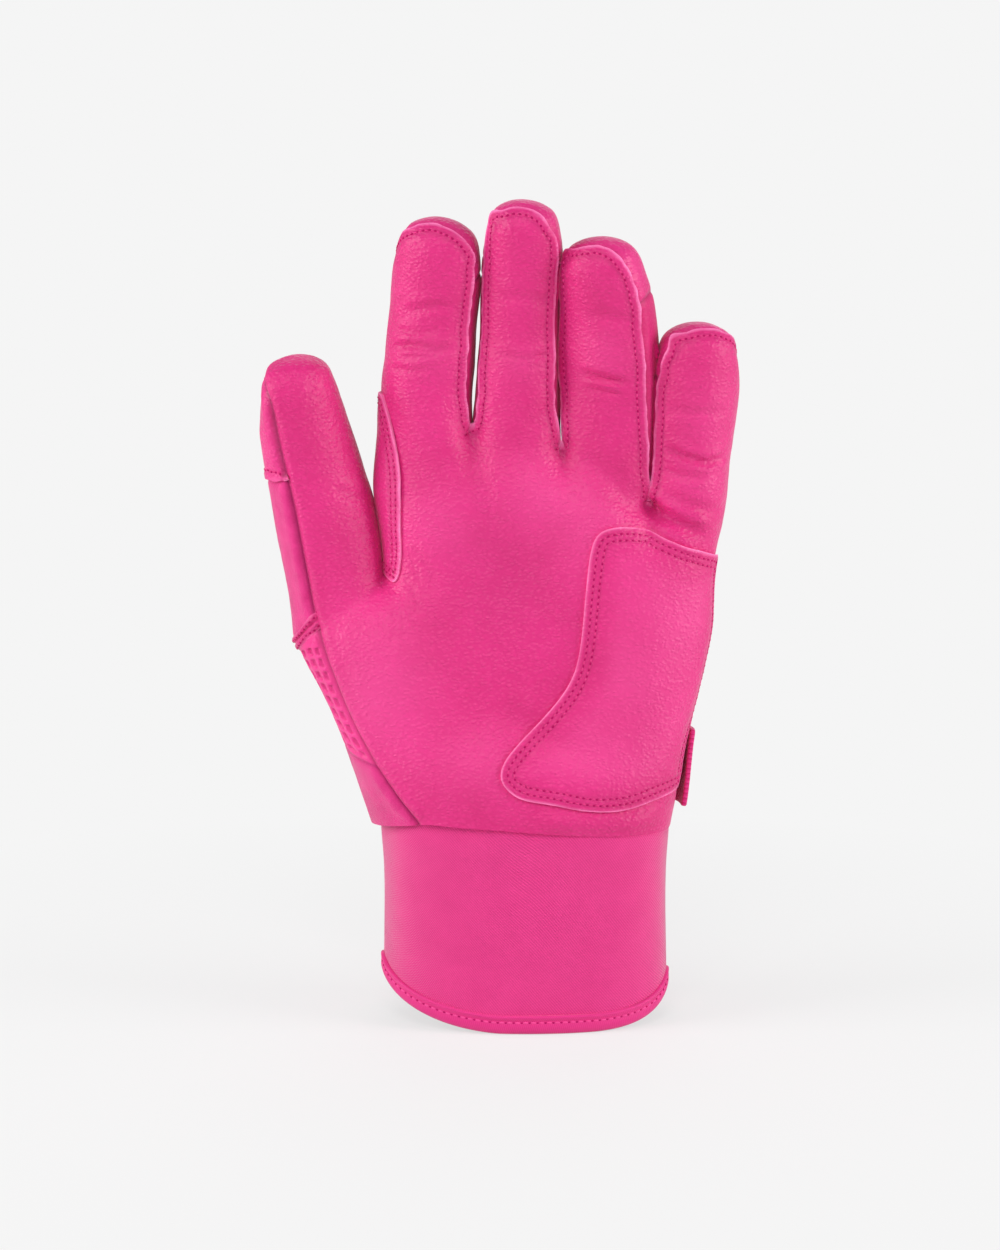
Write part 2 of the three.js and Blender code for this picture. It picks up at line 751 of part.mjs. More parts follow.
fingerNames.forEach((name, i) => {
  const made = fingerStall(i);
  const grounded = bodyAlongs();
  add(`${name}_knuckle_panel`, knucklePanel(i), colours.cloth, 0.8);
  add(`${name}_front`, stallFace(made, -1, [...grounded, ...domeAlongs(tipSeamAngle)]), colours.palm, 0.5);
  const overTip = domeAlongs(180 - tipSeamAngle - tipSeamGap);
  add(`${name}_back`, stallFace(made, 1, [...grounded, ...overTip]), colours.back, 0.55);
  if (gussetAt(i)) add(`${name}_thumb_side_gusset`, sideGusset(made, -1), colours.back, 0.6);
  if (gussetAt(i + 1)) add(`${name}_outer_side_gusset`, sideGusset(made, 1), colours.back, 0.6);
});

const thumbOverTip = domeAlongs(180 - tipSeamAngle - tipSeamGap);
const capGap = seam / thumb.length;
add("thumb_front", stallFace(thumbStall, -1, [...bodyAlongs(), ...domeAlongs(tipSeamAngle)]), colours.palm, 0.5);
add("thumb_lower_back", stallFace(thumbStall, 1, bodyAlongs(0, thumbCapShare)), colours.cloth, 0.8);
add(
  "thumb_tip_back",
  stallFace(thumbStall, 1, [...bodyAlongs(thumbCapShare + capGap, 1), ...thumbOverTip]),
  colours.back,
  0.55,
);

export default glove;
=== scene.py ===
"""A batting glove for the left hand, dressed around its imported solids.

The glove stands on the hem of its cuff with the fingers up (+Z), the palm towards the viewer (-Y)
and the thumb on the -X side. Sizes below are millimetres; meshes are made in metres.
"""

import logging
from collections.abc import Callable, Sequence
from dataclasses import dataclass, field
from enum import Enum
from functools import cache
from math import asin, copysign, cos, exp, hypot, pi, radians, sin, sqrt

import bmesh
import bpy
import numpy as np
from bmesh.types import BMesh
from bpy.types import Material, Mesh, Node, NodeSocket, NodeTree, Object, World
from mathutils import Matrix, Vector, noise
from mathutils.bvhtree import BVHTree
from mathutils.kdtree import KDTree
from numpy import ndarray

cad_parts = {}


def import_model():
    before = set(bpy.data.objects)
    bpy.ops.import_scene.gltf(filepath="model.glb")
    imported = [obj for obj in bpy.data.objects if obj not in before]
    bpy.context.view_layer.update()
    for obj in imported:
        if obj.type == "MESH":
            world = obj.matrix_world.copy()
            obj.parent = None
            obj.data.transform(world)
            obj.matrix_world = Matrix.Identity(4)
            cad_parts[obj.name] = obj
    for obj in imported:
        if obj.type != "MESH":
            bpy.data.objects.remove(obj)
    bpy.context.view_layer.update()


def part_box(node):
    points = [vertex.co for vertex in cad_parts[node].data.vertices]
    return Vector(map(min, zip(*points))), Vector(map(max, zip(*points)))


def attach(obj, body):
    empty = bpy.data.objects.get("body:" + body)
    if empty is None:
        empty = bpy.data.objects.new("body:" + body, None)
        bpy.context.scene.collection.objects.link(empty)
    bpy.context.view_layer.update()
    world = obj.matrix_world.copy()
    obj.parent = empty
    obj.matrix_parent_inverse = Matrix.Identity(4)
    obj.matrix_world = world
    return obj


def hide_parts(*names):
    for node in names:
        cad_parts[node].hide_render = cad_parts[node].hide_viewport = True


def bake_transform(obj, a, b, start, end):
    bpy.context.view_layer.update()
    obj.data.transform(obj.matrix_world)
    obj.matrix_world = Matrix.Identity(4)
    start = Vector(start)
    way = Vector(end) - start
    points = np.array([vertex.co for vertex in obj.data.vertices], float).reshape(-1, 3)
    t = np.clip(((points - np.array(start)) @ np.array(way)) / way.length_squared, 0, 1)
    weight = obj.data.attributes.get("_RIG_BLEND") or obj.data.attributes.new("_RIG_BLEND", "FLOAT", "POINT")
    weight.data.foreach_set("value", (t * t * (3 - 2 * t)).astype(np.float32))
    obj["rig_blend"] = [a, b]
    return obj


LOG = logging.getLogger("batting_glove")
MM = 0.001
HAND = "hand"
STITCH_INSET = 2.1
# A stall's ring has FACE faces across its front and its back, and EDGE round either side
FACE = 6
EDGE = 4

Pair = tuple[float, float]
Triple = tuple[float, float, float]
Stations = tuple[Pair, ...]
Curve = Callable[[float], float]
Rows = list[list[Vector]]


class Side(Enum):
    """The palm side or the knuckle side of the hand."""

    FRONT = -1
    BACK = 1

    @property
    def row(self) -> int:
        """0 for the front and 1 for the back, to pick from a pair of sizes."""
        return (self.value + 1) // 2


class SeamKind(Enum):
    """How a panel's edge meets its neighbour's."""

    LAPPED = "lapped"
    UNDER = "under"
    TURNED = "turned"
    FLAT = "flat"
    OPEN = "open"


class Family(Enum):
    """Panels that are one cut of material share a family."""

    FRONT = "front"
    BACK = "back"
    KNUCKLE = "knuckle"
    GUSSET = "gusset"
    FINGER_BACK = "finger_back"
    THUMB_TIP = "thumb_tip"
    THUMB_LOWER = "thumb_lower"
    DIMPLED = "dimpled"
    WEDGE = "wedge"


# Plain helpers


def lerp(a: float, b: float, t: float) -> float:
    """The value a share t of the way from a to b."""
    return a + (b - a) * t


def smoothstep(x: float | ndarray, low: float, high: float) -> float | ndarray:
    """0 below low, 1 above high and an S curve between."""
    t = np.clip((x - low) / (high - low), 0, 1)
    return t * t * (3 - 2 * t)


def bell(x: ndarray, width: float) -> ndarray:
    """A bell curve of the given half-width over an array of distances."""
    return np.exp(-((x / width) ** 2))


def arch(x: float, power: float = 2.0) -> float:
    """A half circle's height over -1 to 1, or a squarer outline's for a higher power."""
    return max(0.0, 1 - abs(x) ** power) ** (1 / power)


def through(stations: Sequence[Pair]) -> Curve:
    """A smooth curve through (position, value) stations, flat past its ends.

    Args:
        stations: positions in rising order with their values.

    Returns:
        A function from a position to its value.
    """

    def slope(i: int) -> float:
        """The curve's slope at station i."""
        a, b = stations[max(0, i - 1)], stations[min(len(stations) - 1, i + 1)]
        return (b[1] - a[1]) / (b[0] - a[0])

    def value(at: float) -> float:
        """The curve's value at a position."""
        if at <= stations[0][0]:
            return stations[0][1]
        if at >= stations[-1][0]:
            return stations[-1][1]
        i = max(k for k, s in enumerate(stations) if s[0] <= at)
        (x0, y0), (x1, y1) = stations[i], stations[i + 1]
        span = x1 - x0
        u = (at - x0) / span
        pull = u * (1 - u) ** 2 * slope(i) - u * u * (1 - u) * slope(i + 1)
        return lerp(y0, y1, u * u * (3 - 2 * u)) + pull * span

    return value


def grid_mesh(
    columns: int,
    rows: int,
    place: Callable[[int, int], Sequence[float]],
    chart: Callable[[int, int], Pair] | None = None,
) -> BMesh:
    """A grid of quads whose corners go where place says.

    Args:
        columns: faces across.
        rows: faces up.
        place: gives the point of column i and row j.
        chart: gives the map's value there, on a piece that has a map.

    Returns:
        A new bmesh, with its vertices in rows.
    """
    bm = bmesh.new()
    bmesh.ops.create_grid(bm, x_segments=columns, y_segments=rows, size=1.0)
    layer = bm.loops.layers.uv.new("panel") if chart else None
    bm.verts.ensure_lookup_table()
    for n, vert in enumerate(bm.verts):
        j, i = divmod(n, columns + 1)
        vert.co = place(i, j)
        for loop in vert.link_loops if chart else ():
            loop[layer].uv = chart(i, j)
    return bm


def merge(whole: BMesh, part: BMesh) -> None:
    """Adds a bmesh to another and frees it."""
    mesh = bpy.data.meshes.new("part")
    part.to_mesh(mesh)
    part.free()
    whole.from_mesh(mesh)
    bpy.data.meshes.remove(mesh)


def new_object(name: str, bm: BMesh) -> Object:
    """An object of the bmesh, which is freed."""
    mesh = bpy.data.meshes.new(name)
    bm.to_mesh(mesh)
    bm.free()
    obj = bpy.data.objects.new(name, mesh)
    bpy.context.scene.collection.objects.link(obj)
    return obj


def apply_modifiers(obj: Object) -> None:
    """Makes what the object's modifiers show its own mesh."""
    graph = bpy.context.evaluated_depsgraph_get()
    old = obj.data
    made = bpy.data.meshes.new_from_object(obj.evaluated_get(graph), depsgraph=graph)
    obj.modifiers.clear()
    obj.data = made
    made.name = obj.name
    if old.users == 0:
        bpy.data.meshes.remove(old)


def subdivide(obj: Object, levels: int) -> None:
    """Applies a subdivision surface of that many levels."""
    smooth = obj.modifiers.new("round", "SUBSURF")
    smooth.levels = smooth.render_levels = levels
    smooth.boundary_smooth = "ALL"
    apply_modifiers(obj)


def thicken(obj: Object, thickness: float, rim_slot: int = 0) -> None:
    """Gives a sheet its thickness, inwards.

    Args:
        obj: the sheet.
        thickness: in the mesh's own unit.
        rim_slot: how many material slots on the cut edge's finish is.
    """
    wall = obj.modifiers.new("wall", "SOLIDIFY")
    wall.thickness = thickness
    wall.offset = -1
    wall.material_offset_rim = rim_slot
    apply_modifiers(obj)


def read(items: bpy.types.bpy_prop_collection, name: str, width: int = 1, kind: type = np.int32) -> ndarray:
    """One property of every item, in one flat array."""
    flat = np.empty(len(items) * width, kind)
    items.foreach_get(name, flat)
    return flat


def points_of(mesh: Mesh) -> ndarray:
    """The mesh's vertices as an array of points."""
    return read(mesh.vertices, "co", 3, np.float32).reshape(-1, 3).astype(float)


def set_points(mesh: Mesh, points: ndarray) -> None:
    """Moves the mesh's vertices."""
    mesh.vertices.foreach_set("co", points.astype(np.float32).ravel())
    mesh.update()


def mark(mesh: Mesh, name: str, values: ndarray) -> None:
    """Keeps a number from 0 to 1 on each vertex, for the finish to read."""
    layer = mesh.attributes.new(name, "FLOAT", "POINT")
    layer.data.foreach_set("value", np.clip(values, 0, 1).astype(np.float32))


def quads_of(mesh: Mesh) -> ndarray:
    """The corners of a mesh of quads."""
    return read(mesh.loops, "vertex_index").reshape(-1, 4)


def half_edges(quads: ndarray) -> ndarray:
    """The directed edges of all quads, side by side."""
    return np.concatenate([quads[:, [k, (k + 1) % 4]] for k in range(4)])


def unit(rows: ndarray) -> ndarray:
    """The rows of an array, each made one long."""
    return rows / np.maximum(np.linalg.norm(rows, axis=1, keepdims=True), 1e-9)


def normals_for(points: ndarray, quads: ndarray) -> ndarray:
    """Vertex normals of a mesh of quads."""
    a, b, c, d = (points[quads[:, k]] for k in range(4))
    face = np.cross(c - a, d - b)
    normals = np.zeros_like(points)
    for k in range(4):
        np.add.at(normals, quads[:, k], face)
    return unit(normals)


def tree_of(points: ndarray) -> KDTree:
    """A tree that finds the nearest of some points."""
    tree = KDTree(len(points))
    for k, point in enumerate(points):
        tree.insert(point, k)
    tree.balance()
    return tree


def surface_of(points: ndarray, quads: ndarray) -> BVHTree:
    """A tree that finds the nearest place on a mesh."""
    return BVHTree.FromPolygons(points.tolist(), quads.tolist())


def noise_at(points: ndarray, scale: float, seed: float) -> ndarray:
    """Smooth noise from -1 to 1 at each point."""
    offset = Vector((seed, 2 * seed, 3 * seed))
    return np.array([noise.noise(Vector(p) / scale + offset) for p in points])


# The hand's form


@dataclass(frozen=True)
class FingerSize:
    """One finger stall's sizes: widths, length, lean and bend."""

    name: str
    width: float
    length: float
    tip_width: float
    lean: float
    curl: float
    turn: float
    swell: Stations = ()
    pinches: Stations = ()
    bow: float = 0.0
    slants: Pair = (0.0, 0.0)
    tip_depth: float = 10.8


FINGERS = (
    FingerSize(
        "index", 27.0, 62.0, 26.2, 5.2, 19, -9,
        ((0.4, 26.8),), ((0.24, 0.02), (0.58, 0.04)), slants=(3.6, 1.6),
    ),
    FingerSize(
        "middle", 26.7, 77.5, 23.8, 1.8, 20, -6,
        ((0.4, 24.6),), ((0.27, 0.015), (0.52, 0.045)), slants=(1.6, 3.2),
    ),
    FingerSize(
        "ring", 25.8, 77.5, 25.6, -0.9, 22, -21,
        ((0.22, 29.6), (0.45, 30.4), (0.75, 29.4)), ((0.36, 0.03), (0.66, 0.02)), 8.0, (0.0, 3.0),
    ),
    FingerSize(
        "little", 22.4, 61.2, 25.8, 3.5, 17, 6,
        ((0.3, 25.2), (0.7, 26.8)), ((0.34, 0.045), (0.6, 0.02)), slants=(3.8, 0.0),
    ),
)


@dataclass
class HandForm:
    """The hand's outline and depth, in the same frame as the solids."""

    wrist_height: float = 60
    wrist_left: float = -48.4
    wrist_right: float = 44.3
    wrist_depth: float = 26.6
    wrist_hold: float = 8
    heel_right: Pair = (89.4, 49.1)
    flank_right: Pair = (119, 55.4)
    palm_right: Pair = (137, 56.4)
    thenar_left: Pair = (94, -59)
    squareness: float = 2.6
    swells: Stations = ((95, 20), (100, 16.5))
    palm_depth: Pair = (18, 14.5)
    knuckle_flat: float = 165
    knuckle_depth: Pair = (15, 14)
    knuckle_left: float = -42.5
    crotch_heights: tuple[float, ...] = (190, 175.6, 170.6, 154.6, 151)
    finger_depth: float = 13
    gusset_half: float = 5
    lobe_fade: float = 10
    thumb_heel: Pair = (-70.1, 114.2)
    thumb_crotch: Pair = (-41, 135)
    thumb_depth: float = 13
    thenar_reach: float = 45
    seam_feet: Pair = (-29.7, -26)
    seam_middles: Stations = ((86, -46.5), (90, -40))
    seam_tops: Pair = (0.32, 0.35)
    notch_half: float = 9
    notch_height: float = 24
    front_edge: Stations = (
        (-45, 1.0), (-37, 2.4), (-30, 3.8), (-16, 3.1), (-3, 2.3), (12, 1.0), (22, 0.3), (40, -0.4)
    )
    front_fade: float = 28
    finger_fold: float = 18
    thumb_fold: float = 20
    crotch_xs: list[float] = field(init=False)

    def __post_init__(self) -> None:
        """Works out the outline's curves."""
        self.crotch_xs = [self.knuckle_left]
        for finger in FINGERS:
            self.crotch_xs.append(self.crotch_xs[-1] + finger.width)
        (hx, hz), (cx, cz) = self.thumb_heel, self.thumb_crotch
        self.thumb_span = hypot(cx - hx, cz - hz)
        self.thumb_dir = Vector((cx - hx, 0, cz - hz)) / self.thumb_span
        self.thumb_up = Vector((hz - cz, 0, cx - hx)) / self.thumb_span
        self.thumb_mid = Vector(((hx + cx) / 2, 0, (hz + cz) / 2))
        low = self.wrist_height
        self._edge = through(self.front_edge)
        self._below = through([(low, self.wrist_left), self.thenar_left, (hz, hx)])
        outer_top = (self.crotch_heights[-1], self.crotch_xs[-1])
        sides = (self.heel_right, self.flank_right, self.palm_right)
        self.outer_side = through([(low, self.wrist_right), *sides, outer_top])
        wrist = [(low, self.wrist_depth), (low + self.wrist_hold, self.wrist_depth)]
        self._depth, self.seams = {}, {}
        for side in Side:
            k = side.row
            palm = (self.palm_right[0], self.palm_depth[k])
            knuckles = (self.knuckle_flat, self.knuckle_depth[k])
            self._depth[side] = through([*wrist, self.swells[k], palm, knuckles])
            top = self.on_thumb_line(self.seam_tops[k])[::-1]
            self.seams[side] = through([(low, self.seam_feet[k]), self.seam_middles[k], top])

    def front_lift(self, point: Vector) -> float:
        """How far the front's lower edge, and less and less of the skin above it, is cut higher."""
        share = min(1.0, max(0.0, 1 - (point.z - self.wrist_height) / self.front_fade))
        return self._edge(point.x) * share**1.5 * smoothstep(-point.y, -2, 8)

    def on_thumb_line(self, share: float) -> Pair:
        """A point (x, z) on the line where the thumb leaves the hand, from its heel to the crotch."""
        (hx, hz), (cx, cz) = self.thumb_heel, self.thumb_crotch
        return lerp(hx, cx, share), lerp(hz, cz, share)

    def on_thumb_ring(self, degrees: float) -> Vector:
        """A point of the ring where the thumb leaves the hand; 0 is the crotch and -90 the front."""
        angle = radians(degrees)
        out = Vector((0, self.thumb_depth * sin(angle), 0))
        return self.thumb_mid + self.thumb_dir * (self.thumb_span / 2 * cos(angle)) + out

    def left_side(self, z: float) -> float:
        """The hand's thumb side at a height."""
        (hx, hz), (cx, cz) = self.thumb_heel, self.thumb_crotch
        if z <= hz:
            return self._below(z)
        if z <= cz:
            return lerp(hx, cx, (z - hz) / (cz - hz))
        return lerp(cx, self.knuckle_left, min(1, (z - cz) / (self.crotch_heights[0] - cz)))

    def over_finger(self, x: float) -> tuple[int, float]:
        """Which finger stands over a place across the hand, and the place's share of its width."""
        x = min(max(x, self.crotch_xs[0]), self.crotch_xs[-1])
        i = min(3, sum(x >= c for c in self.crotch_xs) - 1)
        return i, (x - self.crotch_xs[i]) / (self.crotch_xs[i + 1] - self.crotch_xs[i])

    def knuckle_line(self, x: float) -> float:
        """Height of the line where the finger stalls start."""
        i, share = self.over_finger(x)
        return lerp(self.crotch_heights[i], self.crotch_heights[i + 1], share)

    def gusset(self, crotch: int) -> float:
        """Half-width of the strip between two fingers; the hand's outsides have none."""
        return 0.0 if crotch in (0, 4) else self.gusset_half

    def lobes(self, x: float) -> float:
        """Depth of the finger stalls' round faces at the knuckle line."""
        i, share = self.over_finger(x)
        edge = lerp(self.gusset(i), self.gusset(i + 1), share)
        return edge + (self.finger_depth - edge) * arch(2 * share - 1)

    def thumb_ball(self, x: float, z: float) -> float:
        """Depth of the round ridge that runs from the thumb line into the palm."""
        off = Vector((x, 0, z)) - self.thumb_mid
        past = max(0.0, -off.dot(self.thumb_up) - self.thenar_reach)
        return self.thumb_depth * arch(hypot(off.dot(self.thumb_dir), past) / (self.thumb_span / 2))

    def depth(self, x: float, z: float, side: Side) -> float:
        """How far the hand's surface stands off its middle plane."""
        left, right = self.left_side(z), self.outer_side(z)
        share = min(1.0, max(-1.0, 2 * (x - left) / (right - left) - 1))
        palm = self._depth[side](z) * arch(share, self.squareness)
        top = self.knuckle_line(x)
        flat = lerp(palm, self.lobes(x), smoothstep(z, top - self.lobe_fade, top))
        return (flat**4 + self.thumb_ball(x, z) ** 4) ** 0.25

    def point(self, x: float, z: float, side: Side) -> Vector:
        """The point of the hand's surface at a place across and a height."""
        return Vector((x, side.value * self.depth(x, z, side), z))

    def notch_rise(self, x: float) -> float:
        """How far the back's lower edge lifts over the wrist notch."""
        return self.notch_height * arch(min(1.0, abs(x) / self.notch_half), 1.4)


@dataclass
class Stall:
    """A finger or thumb stall that bends forward along its length."""

    base: Vector
    slope: float
    size: FingerSize
    depth: float
    edges: Pair = (0.0, 0.0)
    fill: float = 1.012
    dome: float = 11.5
    slices: int = 40

    def __post_init__(self) -> None:
        """Walks the spine from the base to the start of the tip's dome."""
        size = self.size
        self.width_at = through(((0, size.width), *size.swell, (1, size.tip_width)))
        step = (size.length - self.dome) / self.slices
        self.spine = [self.base.copy()]
        for k in range(self.slices):
            self.spine.append(self.spine[-1] + self.heading((k + 0.5) / self.slices) * step)

    def aside_angle(self, t: float) -> float:
        """The sideways lean at a share of the length, in radians: out and back where the stall is bowed."""
        bowed = self.size.bow * (1 - 2 * t) * smoothstep(t, 0, 0.15)
        return radians(self.size.lean * min(1.0, 4 * t) + bowed)

    def heading(self, t: float) -> Vector:
        """The spine's direction at a share of the length."""
        forward, aside = radians(self.size.curl) * t**1.4, self.aside_angle(t)
        return Vector((sin(aside) * cos(forward), -sin(forward), cos(aside) * cos(forward)))

    def point(self, t: float, across: float, deep: float, rise: float = 0.0) -> Vector:
        """A point of the stall.

        Args:
            t: share of the length up to the dome.
            across: to the outer side, in mm.
            deep: to the rear, in mm.
            rise: above the spine's end, in mm.

        Returns:
            The point in the hand's frame.
        """
        at = t * self.slices
        k = min(self.slices - 1, int(at))
        centre = self.spine[k].lerp(self.spine[k + 1], at - k)
        up, lean = self.heading(t), self.aside_angle(t)
        level = Vector((cos(lean), 0, -sin(lean)))
        aside = Matrix.Rotation(radians(self.size.turn) * smoothstep(t, 0, 0.6), 3, up) @ level
        slant = self.slope * across * (1 - t) ** 2
        return centre + aside * across + up.cross(aside) * deep + up * (slant + rise)

    def half(self, t: float) -> float:
        """Half the stall's width at a share of its length, with its pinched places."""
        pinch = sum(amount * exp(-(((t - at) / 0.09) ** 2)) for at, amount in self.size.pinches)
        return self.fill * self.width_at(t) / 2 * (1 - pinch)

    def deep(self, t: float) -> float:
        """The stall's half-depth at a share of its length."""
        return self.fill * lerp(self.depth, self.size.tip_depth, t)

    def face_depth(self, t: float, share: float) -> float:
        """Depth of the stall's round face at a share from -1 to 1 across it."""
        left, right = (edge * (1 - t**1.5) for edge in self.edges)
        edge = lerp(left, right, (share + 1) / 2)
        return edge + (self.deep(t) - edge) * arch(share)


# Panels and the cage that they are cut from


@dataclass(frozen=True)
class Panel:
    """One cut panel: the solid it stands for, what it moves with and its finish."""

    name: str
    node: str
    slot: str
    family: Family
    level: int
    finish: str
    thickness: float = 0.9
    body: str = HAND


def make_panels() -> dict[str, Panel]:
    """All panels of the hand, fingers and thumb by a short key."""
    panels = {
        "palm": Panel("palm_sheet", "palm_leather", "palm_leather", Family.FRONT, 5, "palm"),
        "back": Panel("back_sheet", "back_leather", "back_leather", Family.BACK, 4, "back"),
        "wedge": Panel("wrist_side_suede", "wrist_side_panel", "suede", Family.WEDGE, 1, "suede"),
    }
    dimpled = ("dimpled_leather", Family.DIMPLED, 2, "dimpled")
    panels["dimpled"] = Panel("dimpled_leather", "dimpled_side_panel", *dimpled)

    def add(whose: str, body: str, key: str, piece: str, node: str, *rest: object) -> None:
        """Adds a panel of a finger or the thumb."""
        panels[f"{whose}_{key}"] = Panel(f"{whose}_{piece}", f"{whose}_{node}", *rest, body=body)

    add("thumb", "thumb", "front", "front_leather", "front", "palm_leather", Family.FRONT, 5, "palm")
    add("thumb", "thumb", "lower", "lower_suede", "lower_back", "suede", Family.THUMB_LOWER, 2, "suede")
    add("thumb", "thumb", "tip", "tip_leather", "tip_back", "back_leather", Family.THUMB_TIP, 4, "back")
    for i, size in enumerate(FINGERS):
        own = (size.name, f"{size.name}_finger")
        stretch = ("stretch_cloth", Family.KNUCKLE, 1, "stretch", 0.8)
        add(size.name, HAND, "knuckle", "knuckle_stretch", "knuckle_panel", *stretch)
        add(*own, "front", "front_leather", "front", "palm_leather", Family.FRONT, 5, "palm")
        add(*own, "back", "back_leather", "back", "back_leather", Family.FINGER_BACK, 4, "back")
        for side, shown in (("thumb_side", i > 0), ("outer_side", i < 3)):
            if shown:
                strip = ("gusset_leather", Family.GUSSET, 1, "gusset", 0.8)
                add(*own, side, f"{side}_strip", f"{side}_gusset", *strip)
    return panels


PANELS = make_panels()
PANEL_KEYS = list(PANELS)
FAMILIES = list(Family)
RAW_FRONTS = {f"{finger.name}_front" for finger in FINGERS}


def seam_between(mine: str, other: str) -> SeamKind:
    """How panel mine's edge meets panel other's."""
    if PANELS[mine].level == PANELS[other].level:
        return SeamKind.FLAT
    upper = mine if PANELS[mine].level > PANELS[other].level else other
    if PANELS[upper].family is Family.FRONT and upper not in RAW_FRONTS:
        return SeamKind.TURNED
    pair = {PANELS[mine].family, PANELS[other].family}
    if pair in ({Family.WEDGE, Family.DIMPLED}, {Family.FINGER_BACK, Family.GUSSET}):
        return SeamKind.FLAT
    if pair == {Family.BACK, Family.DIMPLED}:
        return SeamKind.TURNED
    return SeamKind.LAPPED if upper == mine else SeamKind.UNDER


@dataclass
class Cage:
    """The coarse cage of the whole glove, from which a smooth skin is made."""

    form: HandForm
    rows_to_seam: int = 8
    rows_to_crotch: int = 6
    rows_to_knuckles: int = 5
    rows_of_knuckles: int = 2
    knuckle_height: float = 17
    band_height: float = 1.6
    side_foot: Pair = (80, 94)
    inset: Pair = (2.0, 1.7)
    column_shares: tuple[float, ...] = (0.075, 0.19, 0.34, 0.5, 0.66, 0.81, 0.925)
    ring_front: Pair = (-112, -20)
    ring_back: Pair = (107, 20)
    ring_open: float = 35
    cap_degrees: tuple[float, ...] = (0, 26, 52, 116, 180)
    thumb_rows: tuple[float, ...] = (0, 0.05, 0.22, 0.38, 0.54, 0.68, 0.79, 0.9, 1)
    thumb_length: float = 80
    dome_fill: float = 1.06

    def __post_init__(self) -> None:
        """Places the rows and columns of the hand."""
        self.seam_row = self.rows_to_seam
        self.crotch_row = self.seam_row + self.rows_to_crotch
        self.knuckle_row = self.crotch_row + self.rows_to_knuckles
        self.top_row = self.knuckle_row + self.rows_of_knuckles
        self.front = self.hand_sheet(Side.FRONT)
        self.back = self.hand_sheet(Side.BACK)
        outer, inset = self.form.outer_side, -self.inset[1]
        self.outer = [self.round_side(j, -1, outer, inset) for j in range(self.top_row + 1)]
        self.inner = {j: self.inner_strip(j) for j in range(self.crotch_row, self.top_row + 1)}
        self.heel = [self.heel_strip(j) for j in range(self.seam_row + 1)]

    def seam_heights(self, foot: float, top: float) -> list[float]:
        """Heights of the rows up a side seam: the wrist wedge, the dimples and the band."""
        low = self.form.wrist_height
        dimples = np.linspace(foot, top - self.band_height, 6)
        return [low, (low + foot) / 2, *dimples, top]

    def ring_angles(self, side: Side, t: float = 0.0) -> ndarray:
        """Angles of the thumb ring from the side seam to the crotch; the front widens to the tip."""
        start, end = self.ring_front if side is Side.FRONT else self.ring_back
        start -= self.ring_open * t**0.6 if side is Side.FRONT else 0.0
        return np.linspace(start, end, self.rows_to_crotch + 1)

    def left_border(self, side: Side) -> list[Vector]:
        """The sheet's thumb-side border: its seam, the thumb line and the side of the hand."""
        form = self.form
        heights = self.seam_heights(self.side_foot[side.row], form.on_thumb_line(form.seam_tops[side.row])[1])
        points = [form.point(form.seams[side](z), z, side) for z in heights]
        points[-1:] = [form.on_thumb_ring(a) for a in self.ring_angles(side)]
        start, top = points[-1].z, form.crotch_heights[0]
        heights = [
            *np.linspace(start, top - self.knuckle_height, self.rows_to_knuckles + 1)[1:],
            *np.linspace(top - self.knuckle_height, top, self.rows_of_knuckles + 1)[1:],
        ]
        for z in heights:
            x = form.left_side(z) + self.inset[0] * smoothstep(z, start, start + 20)
            points.append(form.point(x, z, side))
        return points

    def climb(self, side: Side) -> tuple[list[float], list[float]]:
        """Each row's share of the height on the sheet's left and right borders."""
        form = self.form
        low, high = form.wrist_height, form.crotch_heights[0]
        left = [(p.z - low) / (high - low) for p in self.left_border(side)]
        base = [(p.z - low) / (high - low) for p in self.left_border(Side.FRONT)]
        outer_top = form.crotch_heights[-1] - low
        flat = (outer_top - self.knuckle_height) / outer_top
        crotch = base[self.crotch_row]
        right = [
            *base[: self.crotch_row],
            *np.linspace(crotch, flat, self.rows_to_knuckles + 1),
            *np.linspace(flat, 1, self.rows_of_knuckles + 1)[1:],
        ]
        return left, right

    def top_columns(self) -> list[float]:
        """Places across the hand of the columns at the knuckle line."""
        xs, form = [], self.form
        for i in range(4):
            left, right = form.crotch_xs[i], form.crotch_xs[i + 1]
            shares = list(self.column_shares)
            shares[0] = shares[0] if i == 0 else 0.0
            shares[-1] = shares[-1] if i == 3 else 1.0
            xs += [lerp(left, right, s) for s in shares][1 if i else 0 :]
        return xs

    def hand_sheet(self, side: Side) -> Rows:
        """The front or back of the hand as rows of points from thumb side to outer side."""
        form = self.form
        border, (left, right) = self.left_border(side), self.climb(side)
        tops = self.top_columns()
        shares = [(x - tops[0]) / (tops[-1] - tops[0]) for x in tops]
        rows = []
        for j in range(self.top_row + 1):
            row = []
            for c, share in enumerate(shares):
                climbed = lerp(left[j], right[j], share)
                z = lerp(form.wrist_height, form.knuckle_line(tops[c]), climbed)
                if side is Side.BACK:
                    z += form.notch_rise(lerp(border[0].x, form.wrist_right, share)) * (1 - climbed) ** 3
                outer = form.outer_side(z) - self.inset[1]
                row.append(form.point(lerp(border[j].x, outer, share), z, side))
            row[0] = border[j]
            rows.append(row)
        return rows

    def inner_strip(self, j: int) -> list[Vector]:
        """Points round the thumb side above the thumb, back to front, at a row."""
        if j == self.crotch_row:
            angles = np.linspace(self.ring_back[1], self.ring_front[1], EDGE + 1)
            return [self.back[j][0], *(self.form.on_thumb_ring(a) for a in angles[1:-1]), self.front[j][0]]
        return self.round_side(j, 0, self.form.left_side, self.inset[0])[::-1]

